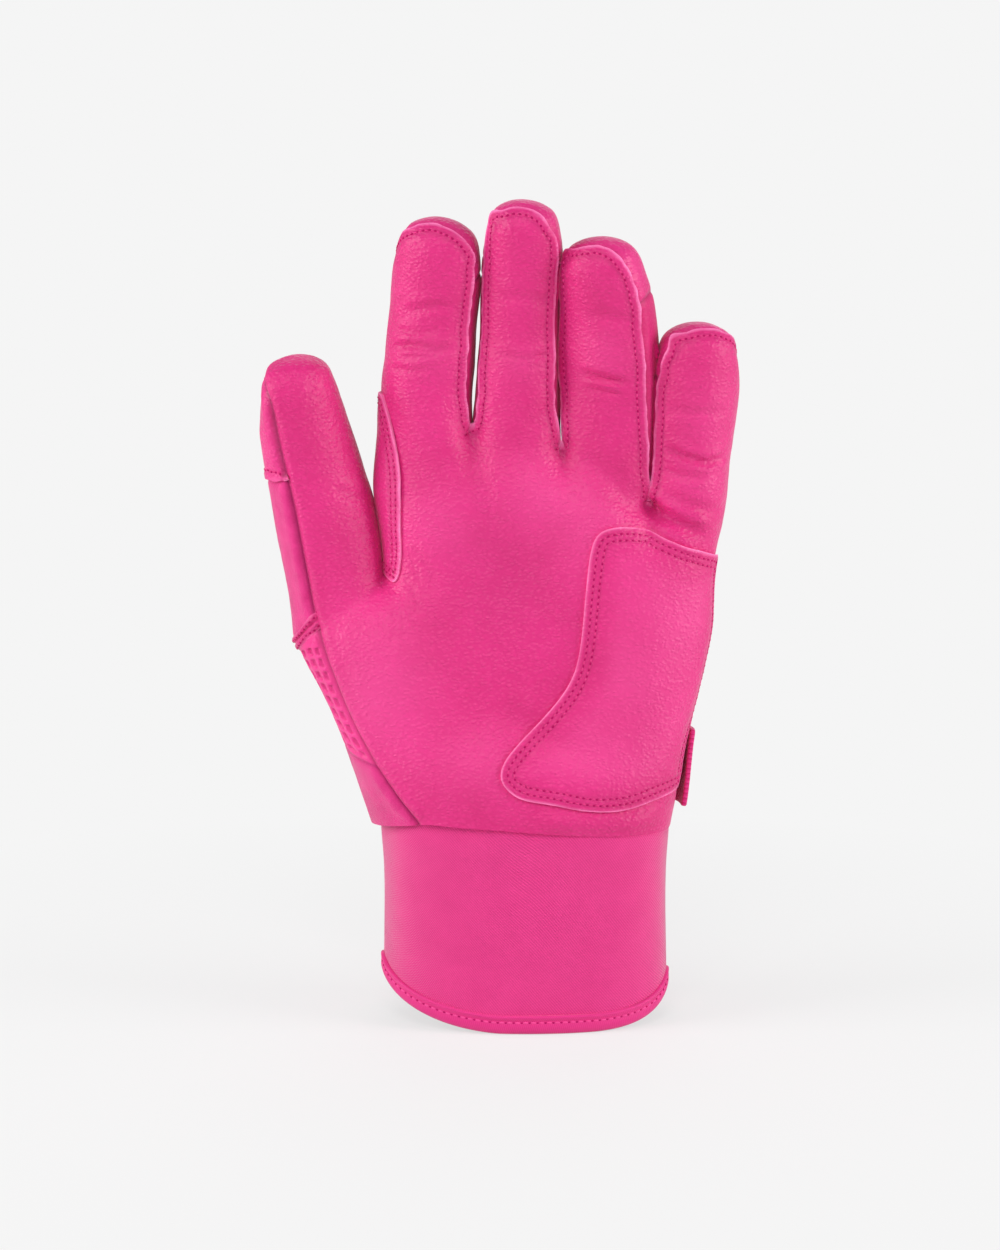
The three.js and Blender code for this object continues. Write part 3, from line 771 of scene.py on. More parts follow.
    def round_side(self, j: int, column: int, edge_at: Curve, inset: float) -> list[Vector]:
        """Five points round a side of the hand, from its front to its back, at a row."""
        front, back = self.front[j][column], self.back[j][column]
        z = (front.z + back.z) / 2
        edge = edge_at(z)
        near_front, near_back = (self.form.point(edge + 0.12 * inset, z, side) for side in Side)
        return [front, near_front, Vector((edge, 0, z)), near_back, back]

    def heel_strip(self, j: int) -> list[Vector]:
        """Points round the thumb's heel, palm seam to back seam, at a row."""
        form = self.form
        if j == self.seam_row:
            angles = np.linspace(360 + self.ring_front[0], self.ring_back[0], EDGE + 1)
            return [form.on_thumb_ring(a) for a in angles]
        front, back = self.front[j][0], self.back[j][0]
        z = self.seam_heights(sum(self.side_foot) / 2, form.thumb_heel[1])[j]
        rounds = []
        for side, end in zip(Side, (front, back)):
            height = (end.z + z) / 2
            rounds.append(form.point(lerp(form.left_side(height), end.x, 0.32), height, side))
        return [front, rounds[0], Vector((form.left_side(z), 0, z)), rounds[1], back]

    def crotch(self, c: int) -> list[Vector]:
        """The five points across a finger crotch, front to back."""
        if c == 0:
            return self.inner[self.top_row][::-1]
        if c == 4:
            return self.outer[self.top_row]
        front, back = (sheet[self.top_row][FACE * c] for sheet in (self.front, self.back))
        return [front.lerp(back, share) for share in np.linspace(0, 1, EDGE + 1)]

    def finger_stall(self, i: int) -> Stall:
        """Finger i's stall."""
        form = self.form
        left, right = form.crotch_xs[i], form.crotch_xs[i + 1]
        middle = (left + right) / 2
        slope = (form.crotch_heights[i + 1] - form.crotch_heights[i]) / (right - left)
        base = Vector((middle, 0, form.knuckle_line(middle)))
        return Stall(base, slope, FINGERS[i], form.finger_depth, (form.gusset(i), form.gusset(i + 1)))

    def thumb_stall(self) -> Stall:
        """The thumb's stall."""
        form = self.form
        wide = form.thumb_crotch[0] - form.thumb_heel[0]
        swell, pinches = ((0.45, 31.8),), ((0.52, 0.03),)
        size = FingerSize("thumb", wide, self.thumb_length, 25.2, -12, 13, 24, swell, pinches, tip_depth=10.2)
        return Stall(form.thumb_mid, form.thumb_dir.z / form.thumb_dir.x, size, form.thumb_depth)

    def cap(self, stall: Stall, fronts: list[Pair], backs: list[Pair]) -> Rows:
        """Rows of points over a stall's tip, front to back.

        Args:
            stall: the finger or thumb.
            fronts: front edge places on the unit circle, thumb side to outer side.
            backs: back edge places to match.

        Returns:
            One row for each angle over the dome.
        """
        rows = []
        for degrees in self.cap_degrees:
            over = (1 - cos(radians(degrees))) / 2
            row = []
            for (fx, fy), (bx, by) in zip(fronts, backs):
                x, y = lerp(fx, bx, over), lerp(fy, by, over)
                rise = stall.dome * self.dome_fill * arch(min(1.0, hypot(x, y)))
                row.append(stall.point(1, stall.half(1) * x, stall.deep(1) * y, rise))
            rows.append(row)
        return rows

    @staticmethod
    def ring_of(front: Sequence, outer: Sequence, back: Sequence, inner: Sequence) -> list:
        """A ring of what stands on a stall's four sides, whose corners they share."""
        return [*front[:-1], *outer, *back[-2:0:-1], *inner[::-1][:-1]]

    def close_ring(self, cap: Rows) -> list[Vector]:
        """The ring of twenty points that a tip's cap stands on."""
        return self.ring_of(cap[0], [row[-1] for row in cap], cap[-1], [row[0] for row in cap])

    def finger_rings(self, i: int) -> tuple[Rows, Rows]:
        """Finger i's rings of twenty points from base to tip, and its cap."""
        stall = self.finger_stall(i)
        shares = [2 * s - 1 for s in self.column_shares]
        side = ((0.975, -1), (1.0, 0), (0.975, 1))
        front_turns, back_turns = [(s, -1) for s in shares], [(s, 1) for s in shares[::-1]]
        turns = [*front_turns, *side, *back_turns, *((-s, -deep) for s, deep in side)]
        left, right = self.crotch(i), self.crotch(i + 1)
        span = slice(FACE * i, FACE * (i + 1) + 1)
        front, back = self.front[self.top_row][span], self.back[self.top_row][span]
        rings = [self.ring_of(front, right, back, left)]
        for t in np.linspace(0, 1, 9)[1:-1]:
            half = stall.half(t)
            rings.append([stall.point(t, half * s, deep * stall.face_depth(t, s)) for s, deep in turns])
        cap = self.cap(stall, [(s, -arch(s)) for s in shares], [(s, arch(s)) for s in shares])
        rings.append(self.close_ring(cap))
        return rings, cap

    def thumb_rings(self) -> tuple[Rows, Rows]:
        """The thumb's rings of twenty points from base to tip, and its cap."""
        stall = self.thumb_stall()
        rows = range(self.seam_row, self.crotch_row + 1)
        front, back = ([sheet[j][0] for j in rows] for sheet in (self.front, self.back))
        crotch = self.inner[self.crotch_row][::-1]
        rings = [self.ring_of(front, crotch, back, self.heel[-1])]
        crotches = np.linspace(self.ring_front[1], self.ring_back[1], EDGE + 1)

        def on_circle(degrees: Sequence[float]) -> list[Pair]:
            """Places on the unit circle."""
            return [(cos(radians(a)), sin(radians(a))) for a in degrees]

        for t in self.thumb_rows[1:]:
            fronts, backs = self.ring_angles(Side.FRONT, t), self.ring_angles(Side.BACK)
            heels = np.linspace(360 + fronts[0], backs[0], EDGE + 1)
            turns = on_circle(self.ring_of(fronts, crotches, backs, heels))
            rings.append([stall.point(t, stall.half(t) * c, stall.deep(t) * s) for c, s in turns])
        cap = self.cap(stall, on_circle(fronts), on_circle(backs))
        rings[-1] = self.close_ring(cap)
        return rings, cap

    def finger_tag(self, i: int, column: int, row: int) -> str:
        """The panel of a face of finger i's wall."""
        name = FINGERS[i].name
        outer = column < FACE + EDGE
        if column < FACE:
            return f"{name}_front"
        if not outer and column < 2 * FACE + EDGE:
            return f"{name}_back"
        if (outer and i == 3) or (not outer and i == 0):
            return f"{name}_front"
        if row == 7:
            return f"{name}_back"
        return f"{name}_{'outer' if outer else 'thumb'}_side"

    def build(self) -> BMesh:
        """The whole cage as one welded mesh, each face carrying its panel's number."""
        whole = bmesh.new()
        whole.loops.layers.uv.new("panel")

        def add(points: Rows, tag: Callable[[int, int], str]) -> None:
            """Adds a patch of quads over rows of points."""
            columns, rows = len(points[0]) - 1, len(points) - 1
            bm = grid_mesh(columns, rows, lambda i, j: points[j][i], lambda i, j: (i, j))
            bm.verts.index_update()
            for face in bm.faces:
                j, i = divmod(min(v.index for v in face.verts), columns + 1)
                face.material_index = PANEL_KEYS.index(tag(i, j))
            merge(whole, bm)

        def back_tag(i: int, j: int) -> str:
            """The back of the hand ends in the knuckle panels."""
            return "back" if j < self.knuckle_row else f"{FINGERS[min(3, i // FACE)].name}_knuckle"

        add(self.front, lambda i, j: "palm")
        add(self.back, back_tag)
        for strip in (self.outer, list(self.inner.values())):
            add(strip, lambda i, j: "palm")
        add(self.heel, lambda i, j: "wedge" if j < 2 else "dimpled")
        for i, finger in enumerate(FINGERS):
            rings, cap = self.finger_rings(i)
            add([[*ring, ring[0]] for ring in rings], lambda c, r, i=i: self.finger_tag(i, c, r))
            add(cap, lambda c, r, n=finger.name: f"{n}_front" if r < 2 else f"{n}_back")
        rings, cap = self.thumb_rings()

        def thumb_tag(c: int, r: int) -> str:
            """The thumb's front wraps its crotch side; its back is suede below leather."""
            return "thumb_front" if c < FACE + EDGE else "thumb_lower" if r < 5 else "thumb_tip"

        add([[*ring, ring[0]] for ring in rings], thumb_tag)
        add(cap, lambda c, r: "thumb_front" if r < 3 else "thumb_tip")
        bmesh.ops.remove_doubles(whole, verts=whole.verts, dist=0.02)
        bmesh.ops.recalc_face_normals(whole, faces=whole.faces)
        for vert in whole.verts:
            vert.co.z += self.form.front_lift(vert.co)
        return whole


# The smooth skin and its seams


@dataclass(frozen=True)
class Crease:
    """A soft crease over the front of the hand: its path (x, z), depth and width."""

    path: Stations
    depth: float = 0.55
    width: float = 1.3


@dataclass(frozen=True)
class Swell:
    """A round swell of the front, or a hollow where its height is negative."""

    centre: Pair
    radius: Pair
    height: float


CREASES = (
    Crease(((-40.5, 203.6), (-33, 204.8), (-26, 203.8), (-19.5, 204.6)), 0.55, 1.1),
    Crease(((-38, 201.2), (-31, 201.9), (-22, 202.2)), 0.35, 0.9),
    Crease(((-36, 214.6), (-28, 216.2), (-19.5, 217)), 0.35, 1.3),
    Crease(((-40, 209.6), (-31, 208.6), (-23, 209.8)), 0.22, 0.9),
    Crease(((-41, 198.4), (-33, 197.2), (-27, 197.9)), 0.25, 0.9),
    Crease(((-9, 219.6), (0, 219), (9, 218)), 0.35, 1.6),
    Crease(((-8, 202.8), (0, 201.2), (8, 202.4)), 0.45, 1.0),
    Crease(((-6, 199.8), (2, 198.9), (8, 199.6)), 0.28, 0.8),
    Crease(((11, 190), (6, 184), (-2, 181)), 0.4, 2.6),
    Crease(((15.5, 197.2), (23, 195.6), (31.5, 193.4)), 0.65, 1.1),
    Crease(((17, 192.8), (24, 191.2), (30, 190.4)), 0.32, 0.9),
    Crease(((17, 215), (25, 213.6), (33, 212)), 0.28, 1.6),
    Crease(((40.5, 175.6), (47, 172.4), (53.5, 170.4), (60.5, 172.4)), 0.65, 1.1),
    Crease(((41, 187), (50, 185.2), (60, 186)), 0.32, 1.4),
    Crease(((40.5, 168.6), (47, 166.2), (54, 166)), 0.38, 1.0),
    Crease(((34, 158.6), (39.5, 155.4), (47.5, 151.6), (54.5, 147.8)), 1.0, 1.9),
    Crease(((41, 162), (49, 157.4), (61, 154.4)), 0.4, 1.6),
    Crease(((-40.5, 131), (-41, 125), (-41.6, 118)), 0.12, 0.8),
    Crease(((-38.8, 131), (-38.7, 125), (-38.4, 116)), 0.15, 0.8),
    Crease(((-37, 130.5), (-36.2, 124.5), (-35.2, 117.5)), 0.14, 0.8),
    Crease(((-35.4, 131), (-33.8, 126), (-31.8, 120)), 0.12, 0.8),
    Crease(((-35.6, 144), (-32.4, 139.6), (-30, 133)), 0.18, 1.2),
    Crease(((-33.6, 146.4), (-29.6, 140.6), (-26.2, 133.6)), 0.2, 1.1),
    Crease(((-36, 138), (-33, 132.5), (-30.6, 126)), 0.16, 1.0),
    Crease(((-57, 163), (-52, 160), (-46, 160)), 0.25, 1.2),
    Crease(((16, 175), (26, 165), (35, 152)), 0.6, 3.2),
    Crease(((-16, 172), (-12, 160), (-9, 148)), 0.4, 3.2),
    Crease(((-10, 100), (5, 90), (22, 82)), 0.4, 3.0),
    Crease(((0, 65.6), (16, 64.4), (32, 64), (43, 66)), -0.55, 2.2),
)
SWELLS = (
    Swell((-7, 137), (19, 22), -2.2),
    Swell((-27, 152), (13, 12), 0.9),
    Swell((6, 162), (12, 11), 1.2),
    Swell((22, 150), (12, 13), 1.2),
    Swell((-43, 103), (17, 22), 1.6),
    Swell((-12, 82), (15, 10), 0.9),
    Swell((36, 112), (13, 20), 1.3),
    Swell((-27, 202), (9, 6), 0.6),
    Swell((-1, 199), (9, 6), 0.6),
    Swell((24, 203), (9, 7), 0.7),
    Swell((52, 164), (8, 5), 0.6),
    Swell((53, 184), (9, 14), 0.7),
)


def path_distance(xz: ndarray, path: Sequence[Pair]) -> tuple[ndarray, ndarray]:
    """Distance of points from a path, and how far along it, from 0 to 1, the nearest place is."""
    near, along = np.full(len(xz), 1e9), np.zeros(len(xz))
    count = len(path) - 1
    for k in range(count):
        a, b = np.array(path[k], float), np.array(path[k + 1], float)
        t = np.clip(((xz - a) @ (b - a)) / ((b - a) @ (b - a)), 0, 1)
        d = np.linalg.norm(xz - (a + t[:, None] * (b - a)), axis=1)
        closer = d < near
        near[closer], along[closer] = d[closer], (k + t[closer]) / count
    return near, along


@dataclass
class Edges:
    """The borders of one family of panels: their vertices, how each is sewn and which way is outward."""

    starts: ndarray
    ends: ndarray
    panels: ndarray
    kinds: list[SeamKind]
    verts: ndarray
    vert_kinds: list[SeamKind]
    outward: ndarray


@dataclass
class Skin:
    """The glove's smooth skin, with its folds, from which the panels are cut."""

    form: HandForm
    levels: int = 3
    lip: float = 0.55
    lap: float = 0.75
    wave: float = 0.6
    groove: float = 0.3
    tuck: float = 0.6
    under: float = 0.8
    turned_groove: float = 0.95
    turned_puff: float = 0.45
    crease_gain: float = 1.5
    swell_gain: float = 1.6
    # The next two gains paint shade into the front's hollows and paint highlight onto its swells.
    hollow_shade: float = 0.07
    highlight_gain: float = 0.3
    flat_groove: float = 0.4
    corner_rounds: int = 70
    tip_rounds: int = 200
    tip_reach: float = 17
    jut: float = 2.6
    noise_sizes: Stations = ((14, 0.32), (4.5, 0.09))

    def __post_init__(self) -> None:
        """Smooths the cage, rounds the panels' corners and presses the folds in."""
        self.obj = new_object("skin", Cage(self.form).build())
        subdivide(self.obj, self.levels)
        mesh = self.obj.data
        self.points, self.quads = points_of(mesh), quads_of(mesh)
        self.tags = read(mesh.polygons, "material_index")
        self.family_ids = np.array([FAMILIES.index(panel.family) for panel in PANELS.values()])[self.tags]
        self.find_edges()
        self.round_corners()
        self.press_folds()
        self.cut, self.shade = {}, {}
        self.shapes = {family: self.shape_family(family) for family in Family}

    def find_edges(self) -> None:
        """Pairs the half-edges of the skin's faces."""
        half = half_edges(self.quads)
        self.half, self.half_face = half, np.tile(np.arange(len(self.quads)), 4)
        low, high = np.sort(half, axis=1).astype(np.int64).T
        key = low * (len(self.points) + 1) + high
        order = np.argsort(key, kind="stable")
        same = np.diff(key[order]) == 0
        self.twin = np.full(len(half), -1)
        first, second = order[:-1][same], order[1:][same]
        self.twin[first], self.twin[second] = second, first
        other = np.where(self.twin >= 0, self.half_face[self.twin], -1)
        mine = self.family_ids[self.half_face]
        theirs = np.where(other >= 0, self.family_ids[np.maximum(other, 0)], -1)
        self.other_face, self.is_border = other, mine != theirs

    def round_corners(self) -> None:
        """Eases the seams' corners along the skin, as a cutter rounds a pattern piece."""
        border = self.half[self.is_border & (self.other_face >= 0)]
        count = np.zeros(len(self.points))
        np.add.at(count, border[:, 0], 1)
        free = count == 2
        free[np.unique(self.half[self.twin < 0])] = False
        self.slide(free, self.smoothed(border, free, self.corner_rounds))
        near, lower = self.near_tips()
        near &= free
        self.slide(near, self.smoothed(border, near, self.tip_rounds))
        self.slide(near, self.points - lower)

    def near_tips(self) -> tuple[ndarray, ndarray]:
        """Which vertices of the finger fronts are close to a tip, and how far each is then lowered."""
        near, lower = np.zeros(len(self.points), bool), np.zeros_like(self.points)
        for finger in FINGERS:
            own = np.unique(self.quads[self.tags == PANEL_KEYS.index(f"{finger.name}_front")])
            own = own[self.points[own, 2] > self.points[own, 2].max() - self.tip_reach]
            x, z = self.points[own, 0], self.points[own, 2]
            across = 2 * (x - x.min()) / (x.max() - x.min()) - 1
            left, right = finger.slants
            drop = left * smoothstep(-across, -0.1, 0.9) + right * smoothstep(across, -0.1, 0.9)
            near[own] = True
            lower[own, 2] = drop * smoothstep(z, z.max() - self.tip_reach, z.max() - 4)
        return near, lower

    def smoothed(self, border: ndarray, loose: ndarray, rounds: int) -> ndarray:
        """The skin's points once the seams' loose vertices have moved towards their neighbours' middles."""
        moved = self.points.copy()
        for _ in range(rounds):
            total = np.zeros_like(moved)
            np.add.at(total, border[:, 0], moved[border[:, 1]])
            moved[loose] = moved[loose] / 2 + total[loose] / 4
        return moved

    def slide(self, loose: ndarray, moved: ndarray) -> None:
        """Takes the seams' loose vertices over the skin to new places, and the skin around with them."""
        ids = np.nonzero(loose)[0]
        tree = surface_of(self.points, self.quads)
        step = np.zeros_like(self.points)
        for v in ids:
            step[v] = np.array(tree.find_nearest(Vector(moved[v]))[0]) - self.points[v]
        near = tree_of(self.points[ids])
        result = self.points.copy()
        for v in range(len(self.points)):
            _, k, d = near.find(self.points[v])
            pull = max(0.0, 1 - d / 9) ** 2
            if pull > 0 and np.abs(step[ids[k]]).max() > 0.01:
                result[v] = tree.find_nearest(Vector(self.points[v] + step[ids[k]] * pull))[0]
        self.points = result

    def press_folds(self) -> None:
        """Presses creases, swells and the leather's small unevenness into the skin, and marks painted shade
        along the creases and in the hollows and painted highlight on the swells.
        """
        normals = normals_for(self.points, self.quads)
        facing = smoothstep(-normals[:, 1], 0.2, 0.6)
        xz = self.points[:, [0, 2]]
        lift, self.fold, self.rub = (np.zeros(len(self.points)) for _ in range(3))
        for crease in CREASES:
            d, along = path_distance(xz, crease.path)
            taper = smoothstep(along, 0, 0.25) * smoothstep(1 - along, 0, 0.25)
            fold = bell(d, crease.width) - 0.5 * bell(d - 2.1 * crease.width, crease.width)
            lift -= facing * taper * crease.depth * self.crease_gain * fold
            # Painted shade: each crease is also darkened in the fold mark, as its groove would lie in shade.
            shade = bell(d, crease.width * 0.7) * min(0.3, 0.5 / crease.width**2)
            self.fold += facing * taper * crease.depth * shade
        for swell in SWELLS:
            off = (xz - np.array(swell.centre)) / np.array(swell.radius)
            share = facing * np.exp(-(off**2).sum(axis=1))
            lift += swell.height * self.swell_gain * share
            # Painted shade darkens the hollows and painted highlight lightens the swells, as the lamps would.
            self.fold += share * max(0.0, -swell.height) * self.hollow_shade
            self.rub += share * max(0.0, swell.height) * self.highlight_gain
        for seed, (size, height) in enumerate(self.noise_sizes):
            lift += height * noise_at(self.points, size, 7.3 + seed)
        self.points = self.points + normals * lift[:, None]
        self.normals = normals_for(self.points, self.quads)

    def edges_of(self, family: Family) -> Edges:
        """The borders of a family of panels."""
        mine = FAMILIES.index(family)
        rows = np.nonzero(self.is_border & (self.family_ids[self.half_face] == mine))[0]
        starts, ends = self.half[rows].T
        panels, kinds = self.tags[self.half_face[rows]], []
        for panel, other in zip(panels, self.other_face[rows]):
            sewn = other >= 0 and seam_between(PANEL_KEYS[panel], PANEL_KEYS[self.tags[other]])
            kinds.append(sewn or SeamKind.OPEN)
        out = np.cross(self.points[ends] - self.points[starts], self.normals[starts] + self.normals[ends])
        verts = np.unique(self.half[rows])
        rank = [SeamKind.OPEN, SeamKind.FLAT, SeamKind.UNDER, SeamKind.TURNED, SeamKind.LAPPED]
        total, best = np.zeros((len(verts), 3)), np.zeros(len(verts), int)
        for corner in (starts, ends):
            place = np.searchsorted(verts, corner)
            np.add.at(total, place, out)
            np.maximum.at(best, place, [rank.index(kind) for kind in kinds])
        return Edges(starts, ends, panels, kinds, verts, [rank[b] for b in best], unit(total))

    def shape_family(self, family: Family) -> tuple[ndarray, Edges]:
        """Where a family's vertices go once its edges are lapped, tucked or turned.

        Args:
            family: the panels that are one cut of material.

        Returns:
            All the skin's points with the family's own moved, and the family's borders.
        """
        edges = self.edges_of(family)
        own = np.unique(self.quads[self.family_ids == FAMILIES.index(family)])
        tree = tree_of(self.points[edges.verts])
        found = [tree.find(self.points[v]) for v in own]
        nearest = np.array([f[1] for f in found])
        d = np.array([f[2] for f in found])
        kinds = np.array([list(SeamKind).index(edges.vert_kinds[k]) for k in nearest])
        lift, shift = np.zeros(len(own)), np.zeros(len(own))
        lapped, under, turned, flat = (kinds == k for k in range(4))
        uneven = noise_at(self.points[own], 3.2, 3.1) + noise_at(self.points[own], 11, 6.4)
        lift += lapped * self.lip * (1 - smoothstep(d, 0.9, 3.4))
        lift -= lapped * self.groove * bell(d - STITCH_INSET, 0.6)
        shift += lapped * (self.lap + self.wave * uneven) * (1 - smoothstep(d, 0, 2.6))
        if family is Family.FRONT:
            for corner in self.tip_corners(edges):
                shift += self.jut * bell(np.linalg.norm(self.points[own] - corner, axis=1), 2.5)
        lift -= under * self.tuck * (1 - smoothstep(d, 0.6, 3))
        shift += under * self.under * (1 - smoothstep(d, 0, 2.2))
        lift += turned * (self.turned_puff * bell(d - 2.8, 1.6) - self.turned_groove * bell(d, 1.0))
        lift -= flat * self.flat_groove * bell(d, 0.7)
        self.cut[family], self.shade[family] = np.zeros(len(self.points)), self.fold.copy()
        pale = {Family.FRONT: 1.0, Family.BACK: 0.4, Family.FINGER_BACK: 0.4}.get(family, 0.25)
        self.cut[family][own] = lapped * (1 - smoothstep(d, 0.1, 0.85)) * pale * (0.8 + 0.6 * uneven)
        # Painted shade: darker along turned, flat and tucked seams and in the stitch grooves, where the
        # recesses would lie in shade.
        self.shade[family][own] += (0.75 * turned + 0.5 * flat) * bell(d, 0.7) + 0.4 * under * bell(d, 1.4)
        self.shade[family][own] += 0.2 * lapped * bell(d - STITCH_INSET, 0.7)
        points = self.points.copy()
        points[own] += self.normals[own] * lift[:, None] + edges.outward[nearest] * shift[:, None]
        return points, edges

    def tip_corners(self, edges: Edges) -> list[ndarray]:
        """The upper corners, on the thumb's side, of the three raw finger fronts that have one."""
        corners = []
        for finger in FINGERS[1:]:
            number = PANEL_KEYS.index(f"{finger.name}_front")
            points = self.points[edges.starts[edges.panels == number]]
            corners.append(points[np.argmax(points @ np.array((-0.75, 0, 0.66)))])
        return corners

    def surface(self, families: Sequence[Family]) -> BVHTree:
        """A tree of some families' finished surface, to lay other pieces on."""
        points = np.concatenate([self.shapes[family][0] for family in families])
        quads = [
            self.quads[self.family_ids == FAMILIES.index(family)] + k * len(self.points)
            for k, family in enumerate(families)
        ]
        return surface_of(points, np.concatenate(quads))

    def separate(self) -> dict[str, Object]:
        """Cuts the skin into one open sheet per panel, in millimetres."""
        mesh = self.obj.data
        set_points(mesh, self.points)
        index = mesh.attributes.new("skin_index", "INT", "POINT")
        index.data.foreach_set("value", np.arange(len(self.points), dtype=np.int32))
        tag = mesh.attributes.new("panel_tag", "INT", "FACE")
        tag.data.foreach_set("value", self.tags)
        for key in PANEL_KEYS:
            mesh.materials.append(bpy.data.materials.new(f"cut_{key}"))
        bpy.ops.object.select_all(action="DESELECT")
        self.obj.select_set(True)
        bpy.context.view_layer.objects.active = self.obj
        bpy.ops.mesh.separate(type="MATERIAL")
        sheets = {}
        for obj in list(bpy.context.selected_objects):
            data = obj.data
            key = PANEL_KEYS[data.attributes["panel_tag"].data[0].value]
            ids = read(data.attributes["skin_index"].data, "value")
            family = PANELS[key].family
            set_points(data, self.shapes[family][0][ids])
            mark(data, "cut_edge", self.cut[family][ids])
            mark(data, "fold", self.shade[family][ids])
            mark(data, "rub", self.rub[ids])
            obj.name = data.name = PANELS[key].name
            data.materials.clear()
            sheets[key] = obj
        for key in PANEL_KEYS:
            bpy.data.materials.remove(bpy.data.materials[f"cut_{key}"])
        return sheets


# Finishes


def srgb(*screen: float) -> tuple[float, ...]:
    """A linear colour from screen values of 0 to 255."""
    shares = [value / 255 for value in screen]
    return (*(s / 12.92 if s <= 0.04045 else ((s + 0.055) / 1.055) ** 2.4 for s in shares), 1.0)


class NodeKit:
    """A node tree with short calls to add and link its nodes."""

    def __init__(self, tree: NodeTree) -> None:
        """Holds the tree."""
        self.tree = tree

    @classmethod
    def of(cls, owner: Material | World) -> "NodeKit":
        """A kit for a material's or world's emptied tree."""
        owner.use_nodes = True
        owner.node_tree.nodes.clear()
        return cls(owner.node_tree)

    def add(self, kind: str, inputs: dict | None = None, **settings: object) -> Node:
        """Adds a node.

        Args:
            kind: the node's type name.
            inputs: values, or sockets to link, by input name or number.
            settings: the node's own properties.

        Returns:
            The new node.
        """
        node = self.tree.nodes.new(kind)
        for name, value in settings.items():
            setattr(node, name, value)
        for name, value in (inputs or {}).items():
            if isinstance(value, NodeSocket):
                self.tree.links.new(value, node.inputs[name])
            else:
                node.inputs[name].default_value = value
        return node

    def math(self, operation: str, a: object, b: object = 0.0) -> NodeSocket:
        """The result of a sum on two values or sockets."""
        return self.add("ShaderNodeMath", {0: a, 1: b}, operation=operation).outputs[0]

    def remap(self, value: NodeSocket, span: Pair, to: Pair) -> NodeSocket:
        """A value moved from one range to another, held at its ends."""
        inputs = {"Value": value, "From Min": span[0], "From Max": span[1], "To Min": to[0], "To Max": to[1]}
        return self.add("ShaderNodeMapRange", inputs).outputs["Result"]

    def mix(self, share: object, a: object, b: object) -> NodeSocket:
        """A colour between two others."""
        return self.add("ShaderNodeMix", {0: share, 6: a, 7: b}, data_type="RGBA").outputs[2]

    def weighted(self, a: object, a_share: object, b: object, b_share: object) -> NodeSocket:
        """Two values added by their shares."""
        return self.math("ADD", self.math("MULTIPLY", a, a_share), self.math("MULTIPLY", b, b_share))

    def noise(self, vector: NodeSocket, scale: object, detail: float, **more: float) -> NodeSocket:
        """Noise of a scale and detail."""
        inputs = {"Vector": vector, "Scale": scale, "Detail": detail, **more}
        return self.add("ShaderNodeTexNoise", inputs).outputs["Fac"]


class PatternKit(NodeKit):
    """A pattern's shader group: a Vector input, its own number inputs, and Height and Tone outputs."""

    def __init__(self, name: str, **inputs: float) -> None:
        """Makes the group's sockets, its inputs with their defaults."""
        super().__init__(bpy.data.node_groups.new(name, "ShaderNodeTree"))
        sockets = self.tree.interface
        sockets.new_socket("Vector", in_out="INPUT", socket_type="NodeSocketVector")
        for label, default in inputs.items():
            sockets.new_socket(label, in_out="INPUT", socket_type="NodeSocketFloat").default_value = default
        for label in ("Height", "Tone"):
            sockets.new_socket(label, in_out="OUTPUT", socket_type="NodeSocketFloat")
        self.given = self.add("NodeGroupInput").outputs

    def close(self, height: NodeSocket, tone: NodeSocket) -> NodeTree:
        """Puts the pattern out and gives its tree."""
        self.add("NodeGroupOutput", {"Height": height, "Tone": tone})
        return self.tree


@cache
def grain_group() -> NodeTree:
    """Leather grain: rounded pebbles with fine cracks, pores and broad mottling."""
    kit = PatternKit("leather_grain", Cell=900.0, Wrinkle=0.24)
    vector = kit.given["Vector"]
    bend = kit.add("ShaderNodeTexNoise", {"Vector": vector, "Scale": 420.0, "Detail": 2.0})
    shaken = kit.add("ShaderNodeMix", {0: 0.0009, 4: vector, 5: bend.outputs["Color"]}, data_type="VECTOR")
    spread = kit.add("ShaderNodeMapping", {"Vector": shaken.outputs[1], "Scale": (1.0, 1.0, 1.45)})
    inputs = {"Vector": spread.outputs[0], "Scale": kit.given["Cell"], "Smoothness": 0.6}
    cells = kit.add("ShaderNodeTexVoronoi", inputs, feature="SMOOTH_F1")
    pebble = kit.remap(cells.outputs["Distance"], (0.05, 0.6), (1.0, 0.0))
    lines = kit.add("ShaderNodeMapping", {"Vector": vector, "Scale": (0.5, 0.7, 1.9)})
    wrinkle = kit.noise(lines.outputs[0], 330.0, 4.0, Distortion=0.5)
    fine = kit.weighted(pebble, 0.7, kit.noise(vector, 1500.0, 1.0), 0.3)
    height = kit.weighted(fine, 1.0, wrinkle, kit.given["Wrinkle"])
    return kit.close(height, kit.weighted(kit.noise(vector, 42.0, 3.0), 0.8, pebble, 0.2))


@cache
def nap_group() -> NodeTree:
    """Suede nap: short brushed fibres in streaks and patches."""
    kit = PatternKit("suede_nap", Fibre=2400.0)
    fibres = kit.noise(kit.given["Vector"], kit.given["Fibre"], 4.0, Roughness=0.7)
    brushed = kit.noise(kit.given["Vector"], 170.0, 5.0, Distortion=0.8)
    return kit.close(kit.weighted(fibres, 0.7, brushed, 0.4), kit.weighted(fibres, 0.5, brushed, 0.5))


